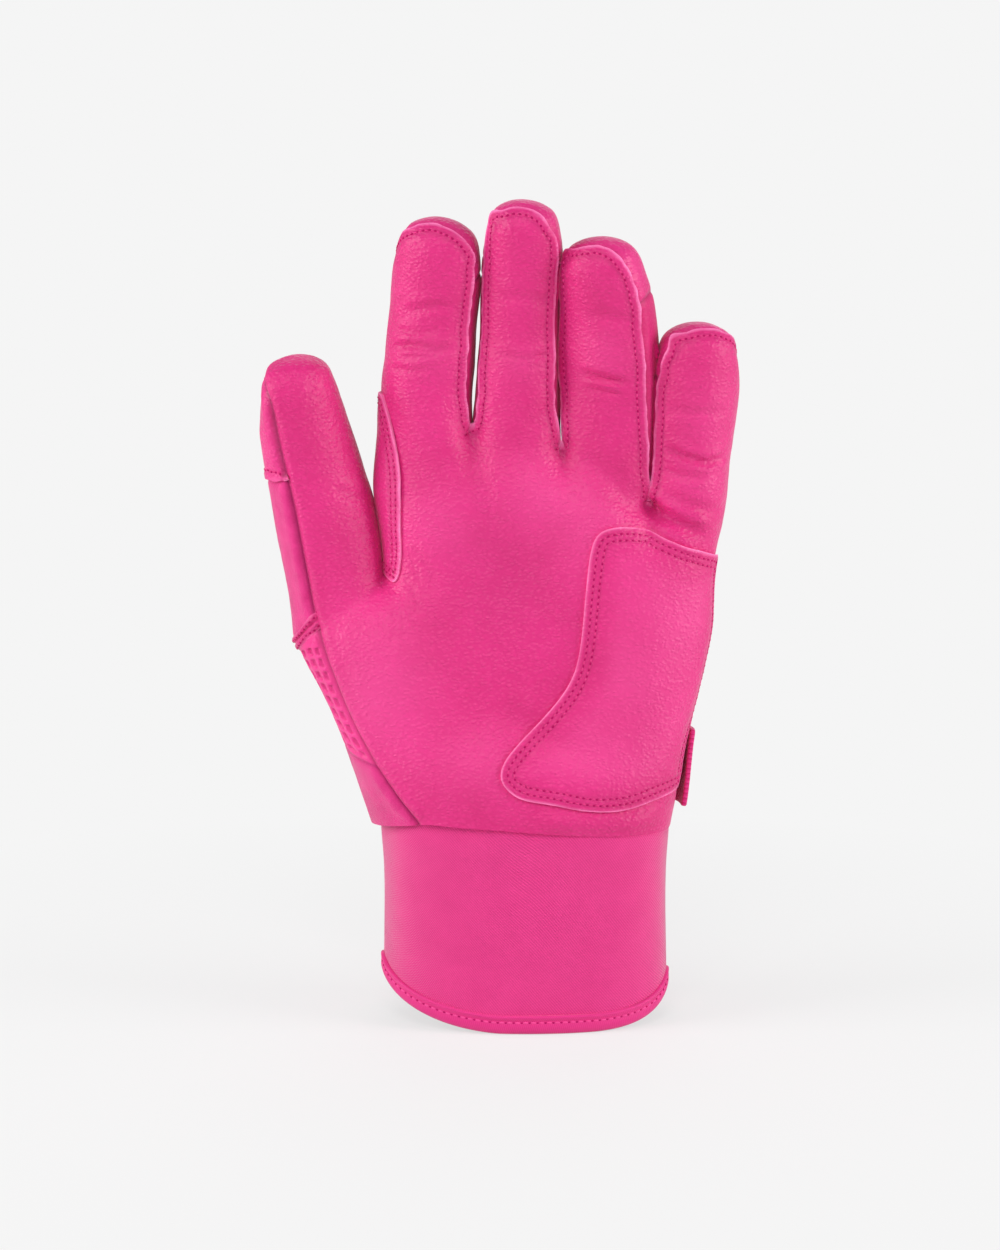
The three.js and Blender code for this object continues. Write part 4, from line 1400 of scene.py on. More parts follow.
@cache
def weave_group() -> NodeTree:
    """Fine twill or rib on a map in millimetres: slanted ridges crossed by their threads."""
    kit = PatternKit("cloth_weave", Pitch=0.8, Slant=0.9)
    vector, pitch = kit.given["Vector"], kit.given["Pitch"]
    across, up = kit.add("ShaderNodeSeparateXYZ", {0: vector}).outputs[:2]
    u, v = kit.math("DIVIDE", across, pitch), kit.math("DIVIDE", up, pitch)
    slanted = kit.weighted(u, 1.0, v, kit.given["Slant"])
    ridge = kit.math("SINE", kit.math("MULTIPLY", slanted, 2 * pi))
    thread = kit.math("SINE", kit.math("MULTIPLY", kit.weighted(v, 1.0, u, 0.18), 4 * pi))
    woven = kit.math("ADD", kit.weighted(ridge, 0.32, thread, 0.16), 0.5)
    height = kit.weighted(woven, 1.0, kit.noise(vector, 1.3, 3.0), 0.35)
    return kit.close(height, kit.weighted(woven, 0.7, kit.noise(vector, 0.12, 2.0), 0.3))


@dataclass(frozen=True)
class Finish:
    """A surface: two tones of its colour, its gloss and the relief that its group gives, with painted shade,
    painted highlight and a paler raw cut edge from the vertex marks.
    """

    name: str
    dark: Triple
    light: Triple
    rough: Pair
    bump: float
    depth: float
    group: Callable[[], NodeTree]
    values: tuple[tuple[str, float], ...] = ()
    specular: float = 0.4
    sheen: float = 0.0
    on_map: bool = False
    raw: Triple = (252, 128, 190)
    # Tint of the painted highlight, and how far the dark tone is darkened for painted shade.
    rubbed: Triple = (244, 76, 156)
    worn: float = 0.66

    def material(self) -> Material:
        """The finish as a material, made once."""
        if self.name in bpy.data.materials:
            return bpy.data.materials[self.name]
        made = bpy.data.materials.new(self.name)
        kit = NodeKit.of(made)
        where = kit.add("ShaderNodeTexCoord").outputs["UV" if self.on_map else "Object"]
        inputs = {"Vector": where, **dict(self.values)}
        pattern = kit.add("ShaderNodeGroup", inputs, node_tree=self.group()).outputs
        share = kit.remap(pattern["Tone"], (0.25, 0.75), (0.0, 1.0))
        colour = kit.mix(share, srgb(*self.dark), srgb(*self.light))
        # Painted shade darkens creases, seams and hollows, painted highlight lightens swells and patch
        # middles; the cut edge shows its own paler raw colour.
        shade_tint = [c * self.worn for c in self.dark]
        for mask, tint in (("fold", shade_tint), ("rub", self.rubbed), ("cut_edge", self.raw)):
            marked = kit.add("ShaderNodeAttribute", attribute_name=mask).outputs["Fac"]
            colour = kit.mix(marked, colour, srgb(*tint))
        relief = {"Height": pattern["Height"], "Strength": self.bump, "Distance": self.depth * MM}
        surface = {
            "Base Color": colour,
            "Roughness": kit.remap(pattern["Tone"], (0.25, 0.75), self.rough[::-1]),
            "Normal": kit.add("ShaderNodeBump", relief).outputs[0],
            "Specular IOR Level": self.specular,
            "Sheen Weight": self.sheen,
            "Sheen Roughness": 0.45,
        }
        shader = kit.add("ShaderNodeBsdfPrincipled", surface)
        kit.add("ShaderNodeOutputMaterial", {0: shader.outputs[0]})
        return made


FINISHES = {
    "palm": Finish(
        "palm_leather_pink", (204, 17, 109), (228, 37, 131), (0.4, 0.52), 0.85, 0.34,
        grain_group, (("Cell", 780.0),), 0.45, 0.12,
    ),
    "back": Finish(
        "back_leather_pink", (210, 24, 115), (232, 48, 139), (0.4, 0.52), 0.8, 0.3,
        grain_group, (("Cell", 820.0),), 0.5, 0.12,
    ),
    "gusset": Finish(
        "gusset_leather_pink", (200, 16, 104), (222, 32, 122), (0.45, 0.56), 0.5, 0.2,
        grain_group, (("Cell", 900.0),), 0.4, 0.1,
    ),
    "dimpled": Finish(
        "dimpled_leather_pink", (220, 34, 124), (240, 58, 146), (0.42, 0.55), 0.25, 0.2,
        grain_group, (("Cell", 1400.0),), 0.4, 0.1,
    ),
    "suede": Finish(
        "suede_pink", (203, 26, 112), (244, 67, 150), (0.8, 0.92), 1.0, 0.5,
        nap_group, (), 0.15, 0.4,
    ),
    "raw": Finish(
        "raw_edge_pink", (236, 90, 160), (248, 124, 184), (0.75, 0.9), 0.6, 0.25,
        nap_group, (), 0.2, 0.2,
    ),
    "stretch": Finish(
        "stretch_cloth_pink", (202, 26, 108), (232, 52, 136), (0.7, 0.85), 0.6, 0.3,
        weave_group, (("Pitch", 1.2), ("Slant", 0.0)), 0.2, 0.2, True,
    ),
    "cuff": Finish(
        "cuff_cloth_pink", (212, 40, 122), (234, 58, 140), (0.68, 0.82), 0.6, 0.25,
        weave_group, (("Pitch", 0.85),), 0.22, 0.65, True,
    ),
    "hem": Finish(
        "hem_tape_pink", (214, 36, 122), (224, 46, 132), (0.5, 0.62), 0.15, 0.1,
        weave_group, (("Pitch", 0.6), ("Slant", 0.3)), 0.35, 0.2, True,
    ),
    "web": Finish(
        "strap_web_pink", (206, 28, 112), (234, 54, 140), (0.55, 0.72), 0.7, 0.35,
        weave_group, (("Pitch", 1.4), ("Slant", 1.0)), 0.3, 0.2, True,
    ),
    "pile": Finish(
        "loop_pile_pink", (198, 24, 104), (238, 66, 146), (0.85, 0.95), 0.9, 0.6,
        nap_group, (("Fibre", 1500.0),), 0.15, 0.4,
    ),
    "hooks": Finish(
        "hook_tape_pink", (196, 24, 104), (230, 50, 132), (0.55, 0.7), 0.9, 0.6,
        weave_group, (("Pitch", 1.1), ("Slant", 0.0)), 0.3, 0.0, True,
    ),
    "tab": Finish(
        "pull_tab_pink", (216, 32, 118), (234, 46, 134), (0.38, 0.5), 0.2, 0.15,
        grain_group, (("Cell", 1600.0), ("Wrinkle", 0.1)), 0.45,
    ),
    "thread": Finish(
        "sewing_thread_pink", (206, 30, 112), (232, 56, 138), (0.5, 0.65), 0.4, 0.1,
        nap_group, (), 0.3, 0.1,
    ),
    "pale_thread": Finish(
        "hem_thread_pink", (228, 54, 138), (240, 82, 158), (0.5, 0.65), 0.4, 0.1,
        nap_group, (), 0.3, 0.1,
    ),
    # Painted shade: the needle holes' dark colour stands for the shade inside them.
    "hole": Finish(
        "needle_hole_pink", (168, 12, 84), (188, 20, 98), (0.8, 0.9), 0.2, 0.1,
        nap_group, (), 0.1,
    ),
}


def dress(obj: Object, *finishes: str) -> None:
    """Gives an object its finishes, one per material slot."""
    for finish in finishes:
        obj.data.materials.append(FINISHES[finish].material())


def to_metres(obj: Object) -> None:
    """Scales a mesh made in millimetres and shades it smooth, with crisp cut edges."""
    obj.data.transform(Matrix.Scale(MM, 4))
    obj.data.update()
    obj.data.shade_smooth()
    obj.data.set_sharp_from_angle(angle=radians(48))


def settle(obj: Object, node: str, slot: str) -> None:
    """Puts a piece that was made in millimetres in its solid's place."""
    to_metres(obj)
    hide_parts(node)
    LOG.info("%s: %d faces", obj.name, len(obj.data.polygons))


# Stitching


@dataclass(frozen=True)
class StitchRow:
    """A row of machine stitches: its inset from the edge, pitch, thread sizes and the sizes of its needle
    holes' painted shade.
    """

    inset: float = STITCH_INSET
    pitch: float = 1.9
    thread: Triple = (0.5, 0.3, 0.24)
    hole: Triple = (0.45, 0.38, 0.18)


def spaced(path: ndarray, pitch: float) -> tuple[ndarray, ndarray]:
    """Evenly spaced points of a path, with the directions there.

    Args:
        path: the path's points.
        pitch: how far apart the new points are.

    Returns:
        The points and the unit directions.
    """
    step = np.linalg.norm(np.diff(path, axis=0), axis=1)
    reach = np.concatenate([[0], np.cumsum(step)])
    at = np.arange(pitch / 2, reach[-1], pitch)

    def reached(where: ndarray) -> ndarray:
        """Points that far along the path."""
        return np.stack([np.interp(where, reach, path[:, k]) for k in range(3)], axis=1)

    return reached(at), unit(reached(at + 0.6) - reached(at - 0.6))


def eased(path: ndarray, rounds: int, closed: bool = False) -> ndarray:
    """A path with its corners eased."""
    for _ in range(rounds):
        middle = (np.roll(path, 1, axis=0) + 2 * path + np.roll(path, -1, axis=0)) / 4
        path = middle if closed else np.concatenate([path[:1], middle[1:-1], path[-1:]])
    return path


def chains_of(starts: Sequence[int], ends: Sequence[int]) -> list[list[int]]:
    """Joins directed edges into chains of vertices; a closed chain ends on its first vertex."""
    ahead = dict(zip(starts, ends))
    heads = [v for v in ahead if v not in set(ends)]
    chains, used = [], set()
    for start in [*heads, *ahead]:
        if start in used:
            continue
        chain = [start]
        while chain[-1] in ahead and chain[-1] not in used:
            used.add(chain[-1])
            chain.append(ahead[chain[-1]])
        chains.append(chain)
    return chains


class Stitching:
    """Threads, and dark beads of painted shade at the needle holes, that gather into one mesh."""

    def __init__(self) -> None:
        """Starts with no stitches."""
        self.bm = bmesh.new()
        self.count = 0

    @staticmethod
    def bead(bm: BMesh, at: Vector, frame: Matrix, size: Sequence[float], slot: int) -> None:
        """Adds one small round-ended bead."""
        place = Matrix.Translation(at) @ frame.to_4x4() @ Matrix.Diagonal((*size, 1.0))
        made = bmesh.ops.create_uvsphere(bm, u_segments=6, v_segments=4, radius=1.0, matrix=place)
        for face in {f for v in made["verts"] for f in v.link_faces}:
            face.material_index = slot

    def row(self, path: ndarray, surface: BVHTree, row: StitchRow) -> None:
        """Sews along a path that lies on or near a surface."""
        bm = bmesh.new()
        for p, along in zip(*spaced(path, row.pitch)):
            at, normal, _, _ = surface.find_nearest(Vector(p))
            tangent = Vector(along)
            tangent = (tangent - normal * tangent.dot(normal)).normalized()
            frame = Matrix((tangent, normal.cross(tangent), normal)).transposed()
            self.bead(bm, at + normal * 0.02, frame, row.thread, 0)
            # A dark bead sunk between stitches is painted shade for the needle hole.
            self.bead(bm, at + tangent * row.pitch / 2 - normal * 0.02, frame, row.hole, 1)
            self.count += 1
        merge(self.bm, bm)

    def finish(self, name: str, thread: str = "thread") -> Object:
        """The stitches as one object in metres."""
        obj = new_object(name, self.bm)
        dress(obj, thread, "hole")
        to_metres(obj)
        LOG.info("%s: %d stitches", name, self.count)
        return obj


# Sub-assemblies


def hold(obj: Object, form: HandForm, body: str) -> None:
    """Makes a piece move with its body, bending where a finger or the thumb leaves the hand."""
    names = [f"{finger.name}_finger" for finger in FINGERS]
    if body in names:
        i = names.index(body)
        left, right = form.crotch_xs[i], form.crotch_xs[i + 1]
        low, high = form.crotch_heights[i], form.crotch_heights[i + 1]
        span = hypot(right - left, high - low)
        start = Vector(((left + right) / 2, 0, (low + high) / 2))
        reach = Vector((low - high, 0, right - left)) * (form.finger_fold / span)
    elif body == "thumb":
        start, reach = form.thumb_mid, form.thumb_up * form.thumb_fold
    else:
        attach(obj, body)
        return
    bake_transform(obj, HAND, body, start * MM, (start + reach) * MM)


@dataclass
class Shell:
    """The sewn panels of the hand, fingers and thumb."""

    form: HandForm
    skin: Skin
    dimple: Pair = (2.3, 2.9)
    dimple_pitch: Pair = (3.6, 3.9)
    dimple_depth: float = 0.8
    dimple_field: Pair = (27.0, 36.0)
    single: StitchRow = StitchRow()

    def build(self) -> None:
        """Cuts, thickens and dresses every panel and sews its lapped edges."""
        for key, obj in self.skin.separate().items():
            panel = PANELS[key]
            if key == "dimpled":
                self.press_dimples(obj)
            self.map_cloth(obj)
            dress(obj, panel.finish, "raw")
            thicken(obj, panel.thickness, 1)
            settle(obj, panel.node, panel.slot)
            hold(obj, self.form, panel.body)
        for key in PANEL_KEYS:
            self.sew(key)

    def map_cloth(self, obj: Object) -> None:
        """Turns the panel's map into millimetres across and up."""
        points = points_of(obj.data)[read(obj.data.loops, "vertex_index")]
        obj.data.uv_layers["panel"].data.foreach_set("uv", points[:, [0, 2]].astype(np.float32).ravel())

    def press_dimples(self, obj: Object) -> None:
        """Presses rows of small rounded rectangles into the side panel and paints shade into them."""
        bm = bmesh.new()
        bm.from_mesh(obj.data)
        bmesh.ops.subdivide_edges(bm, edges=bm.edges, cuts=2, use_grid_fill=True, smooth=0.0)
        layer, fold = bm.loops.layers.uv["panel"], bm.verts.layers.float["fold"]
        bm.normal_update()
        wide, tall = self.dimple_field
        depths = {}
        for vert in bm.verts:
            u, v = vert.link_loops[0][layer].uv
            spot = (u / 4 * wide, (v - 2) / 5 * tall)
            sizes = zip(spot, self.dimple_pitch, self.dimple)
            off = [abs((at / pitch) % 1 - 0.5) * pitch / (size / 2) for at, pitch, size in sizes]
            edge = min(spot[0], wide - spot[0], spot[1], tall - spot[1])
            inside = 1 - smoothstep((off[0] ** 4 + off[1] ** 4) ** 0.25, 0.72, 1.06)
            depths[vert] = inside * smoothstep(edge, 1.2, 2.0) * self.dimple_depth
        moves = [(vert, vert.normal * depth) for vert, depth in depths.items() if depth > 0]
        for vert, move in moves:
            vert.co -= move
            # Painted shade: each dimple is darkened by its depth, as its recess would lie in shade.
            vert[fold] += 0.35 * move.length / self.dimple_depth
        bm.to_mesh(obj.data)
        bm.free()

    def sew(self, key: str) -> None:
        """Sews one panel's lapped edges."""
        panel = PANELS[key]
        points, edges = self.skin.shapes[panel.family]
        number = PANEL_KEYS.index(key)
        lapped = np.array([kind is SeamKind.LAPPED for kind in edges.kinds])
        rows = np.nonzero(lapped & (edges.panels == number))[0]
        if not len(rows):
            return
        place = {v: k for k, v in enumerate(edges.verts)}
        stitching, surface = Stitching(), self.skin.surface([panel.family])
        for chain in chains_of(edges.starts[rows].tolist(), edges.ends[rows].tolist()):
            if len(chain) < 6:
                continue
            closed = chain[0] == chain[-1]
            inward = unit(-eased(edges.outward[[place[v] for v in chain]], 8, closed))
            path = points[chain] + inward * (self.single.inset + self.skin.lap)
            stitching.row(eased(path, 6, closed), surface, self.single)
        if stitching.count:
            hold(stitching.finish(f"{panel.name}_stitches"), self.form, panel.body)


@dataclass
class LaidPatch:
    """A leather patch laid on the finished skin, with a raw edge and rows of stitches."""

    name: str
    node: str
    slot: str
    cage: Rows
    surface: BVHTree
    levels: int = 3
    lift: float = 1.15
    thickness: float = 1.0
    puff: float = 0.25
    wave: float = 0.15
    rows: tuple[StitchRow, ...] = (StitchRow(2.0, 2.0), StitchRow(3.9, 2.0))
    finish: str = "palm"
    bulge: Callable[[ndarray], ndarray] | None = None
    ease: int = 8
    # Share of painted highlight over the patch's raised middle.
    highlight_gain: float = 0.34
    paleness: float = 0.85

    def build(self) -> None:
        """Lays the patch, thickens it and sews it down."""
        columns, count = len(self.cage[0]) - 1, len(self.cage) - 1
        obj = new_object(self.name, grid_mesh(columns, count, lambda i, j: self.cage[j][i]))
        subdivide(obj, self.levels)
        points, quads = points_of(obj.data), quads_of(obj.data)
        half = half_edges(quads)
        pairs = {tuple(h) for h in half.tolist()}
        border = [(a, b) for a, b in half.tolist() if (b, a) not in pairs]
        ring = chains_of([a for a, _ in border], [b for _, b in border])[0]
        laid, normals = np.empty_like(points), np.empty_like(points)
        for k, p in enumerate(points):
            at, normal, _, _ = self.surface.find_nearest(Vector(p))
            laid[k], normals[k] = at, normal
        inner = np.isin(half[:, 0], ring)
        rim = np.array(list(zip(ring, ring[1:])))
        links = np.concatenate([half[~inner], rim, rim[:, ::-1]])
        for _ in range(self.ease):
            total, number = np.zeros((len(points), 6)), np.zeros((len(points), 1))
            np.add.at(total, links[:, 0], np.hstack([laid, normals])[links[:, 1]])
            np.add.at(number, links[:, 0], 1)
            total /= np.maximum(number, 1)
            laid, normals = (laid + total[:, :3]) / 2, unit(normals + total[:, 3:])
        tree = tree_of(laid[ring])
        d = np.array([tree.find(p)[2] for p in laid])
        lift = self.lift + self.puff * smoothstep(d, 3.5, 9) - 0.3 * bell(d, 0.7)
        for row in self.rows:
            lift -= 0.2 * bell(d - row.inset, 0.5)
        uneven = noise_at(laid, 6, 5.2)
        lift += self.wave * uneven * bell(d, 2.0)
        if self.bulge:
            lift += self.bulge(laid)
        made = laid + normals * lift[:, None]
        set_points(obj.data, made)
        mark(obj.data, "cut_edge", (1 - smoothstep(d, 0.1, 0.75)) * self.paleness * (1 + 0.6 * uneven))
        # Painted shade along the stitch rows' grooves, and painted highlight over the patch's raised middle.
        mark(obj.data, "fold", sum(0.22 * bell(d - row.inset, 0.6) for row in self.rows))
        mark(obj.data, "rub", self.highlight_gain * smoothstep(d, 4, 13) * (1 + 0.5 * noise_at(laid, 17, 2.6)))
        self.sew(made, normals, ring, surface_of(made, quads))
        dress(obj, self.finish, "raw")
        thicken(obj, self.thickness, 1)
        settle(obj, self.node, self.slot)
        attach(obj, HAND)

    def sew(self, points: ndarray, normals: ndarray, ring: list[int], surface: BVHTree) -> None:
        """Sews rows of stitches round the patch's edge."""
        path = points[ring[:-1]]
        along = np.roll(path, -1, axis=0) - np.roll(path, 1, axis=0)
        inward = unit(eased(np.cross(normals[ring[:-1]], along), 10, True))
        stitching = Stitching()
        for row in self.rows:
            inner = eased(path + inward * row.inset, 14, True)
            stitching.row(np.concatenate([inner, inner[:1]]), surface, row)
        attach(stitching.finish(f"{self.name}_stitches"), HAND)


@dataclass
class HeelPatch:
    """The pad under the little finger, from the palm round to the outer side."""

    form: HandForm
    left: Stations = (
        (71.6, -1.8), (75, -6.6), (78, -7.8), (82.5, -6.5), (93, 3.4), (103.5, 12.4), (112.5, 15.9),
        (136.5, 18.5), (152.4, 20.5),
    )
    bottom: Stations = ((-1.8, 71.6), (8, 70.4), (17, 68.3), (29.5, 67.7), (39, 70), (50, 73))
    top: Stations = ((20.5, 152.4), (31, 151.2), (38.5, 149.2), (46.7, 146.2), (57.6, 141.8))
    columns: int = 14
    rows: int = 18
    margin: float = 0.6

    def build(self, skin: Skin) -> None:
        """Lays the pad on the palm."""
        left, bottom, top = through(self.left), through(self.bottom), through(self.top)
        outer = self.form.outer_side
        foot, head = self.left[0][0], self.left[-1][0]
        end_low, end_high = self.bottom[-1][1], self.top[-1][1]
        cage = []
        for j in range(self.rows + 1):
            v, row = j / self.rows, []
            z_left, z_right = lerp(foot, head, v), lerp(end_low, end_high, v)
            x_right = outer(z_right) - self.margin * (1 - smoothstep(z_right, 84, 92))
            for i in range(self.columns + 1):
                u = sin(pi / 2 * i / self.columns)
                low = bottom(lerp(left(foot), outer(end_low), u)) - lerp(foot, end_low, u)
                high = top(lerp(left(head), outer(end_high), u)) - lerp(head, end_high, u)
                x, z = lerp(left(z_left), x_right, u), lerp(z_left, z_right, u) + lerp(low, high, v)
                row.append(self.form.point(min(x, outer(z)), z, Side.FRONT))
            cage.append(row)
        corner, inner = cage[-1][0], cage[-2][1]
        cage[-1][0] = corner.lerp(inner, 0.42)
        cage[-1][1], cage[-2][0] = cage[-1][1].lerp(inner, 0.08), cage[-2][0].lerp(inner, 0.08)
        LaidPatch("heel_pad", "heel_patch", "palm_leather", cage, skin.surface([Family.FRONT])).build()


@dataclass
class CrotchPatch:
    """The strip that wraps the index finger's side down to the thumb's crotch."""

    form: HandForm
    front: Stations = (
        (133.4, -37.8), (136, -36.6), (150, -36.0), (166.5, -36.2), (175.5, -37.8), (184, -40.0), (190, -41.8)
    )
    rows: int = 14
    half_columns: int = 4
    slack: float = 2.2
    slant: float = 4.5

    def build(self, skin: Skin) -> None:
        """Lays the strip round the side."""
        edge = through(self.front)
        low, high = self.front[0][0], self.front[-1][0]
        cage = []
        for j in range(self.rows + 1):
            row = []
            for i in range(-self.half_columns, self.half_columns + 1):
                share = abs(i) / self.half_columns
                foot = lerp(low + self.slant, low, share if i > 0 else 0.0)
                z = lerp(foot, high, j / self.rows)
                left = self.form.left_side(z)
                x = left + (edge(z) - left) * share**2.4
                row.append(self.form.point(x, z, Side.BACK if i < 0 else Side.FRONT))
            cage.append(row)
        surface = skin.surface([Family.FRONT, Family.BACK])
        rows = (StitchRow(1.5), StitchRow(3.2))

        def bulge(points: ndarray) -> ndarray:
            """The strip stands off the side of the hand where it is not pulled tight."""
            return self.slack * bell(points[:, 2] - 163, 15) * bell(points[:, 1], 7)

        LaidPatch(
            "index_side_strip", "thumb_crotch_patch", "back_leather", cage, surface,
            lift=1.05, thickness=0.95, puff=0.1, wave=0.2, rows=rows, finish="back", bulge=bulge,
        ).build()


@dataclass
class ThumbBand:
    """The narrow double-welted band over the seam below the thumb."""

    form: HandForm
    turns: Pair = (102, 256)
    rises: Stations = ((104, 0.6), (150, -0.3), (180, -0.7), (215, 0.6), (248, 2.4), (256, 2.9))
    half: float = 2.4
    welt: float = 0.55
    tucked: float = 1.5
    columns: int = 20
    rows: int = 4

    def build(self, skin: Skin) -> None:
        """Lays the band from the palm seam round to the back seam."""
        form, rise = self.form, through(self.rises)
        cage = []
        for j in range(self.rows + 1):
            aside = lerp(-self.half, self.half, j / self.rows)
            turns = [lerp(*self.turns, i / self.columns) for i in range(self.columns + 1)]
            cage.append([form.on_thumb_ring(turn) + form.thumb_up * (rise(turn) + aside) for turn in turns])

        def bulge(points: ndarray) -> ndarray:
            """Two welts along the band, which goes down into a seam at either end."""
            off = points - np.array(form.thumb_mid)
            along = off @ np.array(form.thumb_dir) / (form.thumb_span / 2)
            turn = np.degrees(np.arctan2(off[:, 1] / form.thumb_depth, along)) % 360
            aside = off @ np.array(form.thumb_up) - np.array([rise(t) for t in turn])
            first, last = self.turns
            ends = smoothstep(turn, first, first + 9) * smoothstep(-turn, -last, 9 - last)
            welts = bell(np.abs(aside) - 1.2, 0.75) - 0.6 * bell(aside, 0.4)
            return self.welt * welts - self.tucked * (1 - ends)

        surface = skin.surface([Family.DIMPLED, Family.THUMB_LOWER, Family.FRONT, Family.BACK])
        LaidPatch(
            "thumb_band_strip", "thumb_band", "back_leather", cage, surface, lift=0.35, thickness=0.8,
            puff=0, wave=0.1, rows=(StitchRow(1.15, 1.7),), finish="back", bulge=bulge,
            ease=12, highlight_gain=0, paleness=0.2,
        ).build()


@dataclass
class Cuff:
    """The stretch cuff and its bound hem."""

    half_width: float = 43.1
    shift: float = 0.4
    half_depth: float = 25
    squareness: Pair = (2.1, 2.55)
    low: float = 2.5
    high: float = 68
    hem_rise: Pair = (16.8, 11.0)
    wall: float = 1.3
    segments: int = 96
    rows: int = 20
    map_height: float = 62
    hem_inset: float = 0.4
    stitch_height: float = 4.2
    binding: Stations = (
        (-1.9, 4.6), (-2.2, 2.4), (-1.9, 0.6), (-0.9, 0.0), (0.2, 0.25), (1.0, 1.3), (1.25, 2.7),
        (0.95, 3.9), (0.72, 4.35), (1.1, 4.9), (1.25, 5.5), (0.95, 6.0), (0.1, 6.1), (-0.9, 5.8),
    )
    thread: StitchRow = StitchRow(0, 2.4, (0.8, 0.3, 0.22), (0.42, 0.3, 0.14))

    def outline(self, angle: float, grow: float = 0.0, z: float = 0.0) -> Vector:
        """A point of the cuff's outline at a height; angle 0 is the outer side and -90 degrees the front."""
        power = 2 / lerp(*self.squareness, smoothstep(z, 15, 60))
        c, s = cos(angle), sin(angle)
        x = copysign(abs(c) ** power, c) * (self.half_width + grow)
        y = copysign(abs(s) ** power, s) * (self.half_depth + grow)
        return Vector((x + self.shift, y, z))

    def rise(self, angle: float) -> float:
        """How far the hem lifts at the cuff's sides, in a rounder corner on the thumb's."""
        c, s = cos(angle), sin(angle)
        if c < 0:
            return self.hem_rise[0] * max(0.0, 1 - hypot(s, 0.18))
        return self.hem_rise[1] * max(0.0, 1 - sqrt(1.03 - c**5))

    def around(self) -> list[Pair]:
        """Angles round the cuff, from the back, at even steps of its girth, with the girth so far."""
        fine = [pi / 2 + 2 * pi * k / 2000 for k in range(2001)]
        reach = [0.0]
        for a, b in zip(fine, fine[1:]):
            reach.append(reach[-1] + (self.outline(a) - self.outline(b)).length)
        at = np.linspace(0, reach[-1], self.segments + 1)
        return list(zip(np.interp(at, reach, fine), at))

    def tube(self, name: str, rows: int, place: Callable[[float, int], Vector], up: Curve) -> Object:
        """A tube round the cuff's outline with a map in millimetres.

        Args:
            name: the object's name.
            rows: faces along the section.
            place: gives the point at an angle and a row.
            up: gives the map's second value at a row.

        Returns:
            The new object, in millimetres.
        """
        steps = self.around()
        bm = grid_mesh(
            self.segments, rows, lambda i, j: place(steps[i][0], j), lambda i, j: (steps[i][1], up(j))
        )
        bmesh.ops.remove_doubles(bm, verts=bm.verts, dist=0.001)
        bmesh.ops.recalc_face_normals(bm, faces=bm.faces)
        if bm.calc_volume(signed=True) < 0:
            bmesh.ops.reverse_faces(bm, faces=bm.faces)
        return new_object(name, bm)

    def build(self) -> None:
        """Makes the knitted tube and the binding with its stitches."""

        def wall_place(angle: float, j: int) -> Vector:
            """A point of the knitted wall, with its slight slackness."""
            z = lerp(self.low + self.rise(angle), self.high, j / self.rows)
            slack = 0.35 * noise.noise(Vector((cos(angle) * 2.2, sin(angle) * 2.2, z / 26)))
            waist = 0.3 * sin(pi * (z - 5) / 60)
            flare = 0.5 * smoothstep(z, 46, 60)
            return self.outline(angle, slack - waist + flare, z)

        wall = self.tube("cuff_knit", self.rows, wall_place, lambda j: j / self.rows * self.map_height)
        subdivide(wall, 1)
        thicken(wall, self.wall)
        dress(wall, "cuff")
        settle(wall, "cuff_sleeve", "cuff_cloth")
        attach(wall, HAND)
        self.bind()

    def bind(self) -> None:
        """Makes the hem's binding: a folded tape with a ridge above its stitches."""
        count = len(self.binding)

        def place(angle: float, j: int) -> Vector:
            """A point of the binding's section."""
            out, up = self.binding[j % count]
            return self.outline(angle, out - self.hem_inset) + Vector((0, 0, up + self.rise(angle)))

        hem = self.tube("hem_binding", count, place, lambda j: j * 1.1)
        subdivide(hem, 2)
        surface = surface_of(points_of(hem.data), quads_of(hem.data))
        path = []
        for angle, _ in self.around():
            at = self.outline(angle, 1.4)
            path.append((at.x, at.y, self.stitch_height + self.rise(angle)))
        stitching = Stitching()
        stitching.row(np.array(path), surface, self.thread)
        dress(hem, "hem")
        settle(hem, "cuff_hem_tape", "hem_tape")
        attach(hem, HAND)
        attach(stitching.finish("hem_stitches", "pale_thread"), HAND)


@dataclass(frozen=True)
class Strip:
    """One strip of the wrist strap: the solid that it stands for, its finish and how it lies.

    Its lift is its outer face's height over the back at a place across. It grows past its solid's
    thumb-side and outer ends, and below it.
    """

    name: str
    node: str
    slot: str
    finish: str
    lift: Curve
    thick: float
    body: str = HAND
    grow: Triple = (0.0, 0.0, 0.0)
    ribs: int = 0


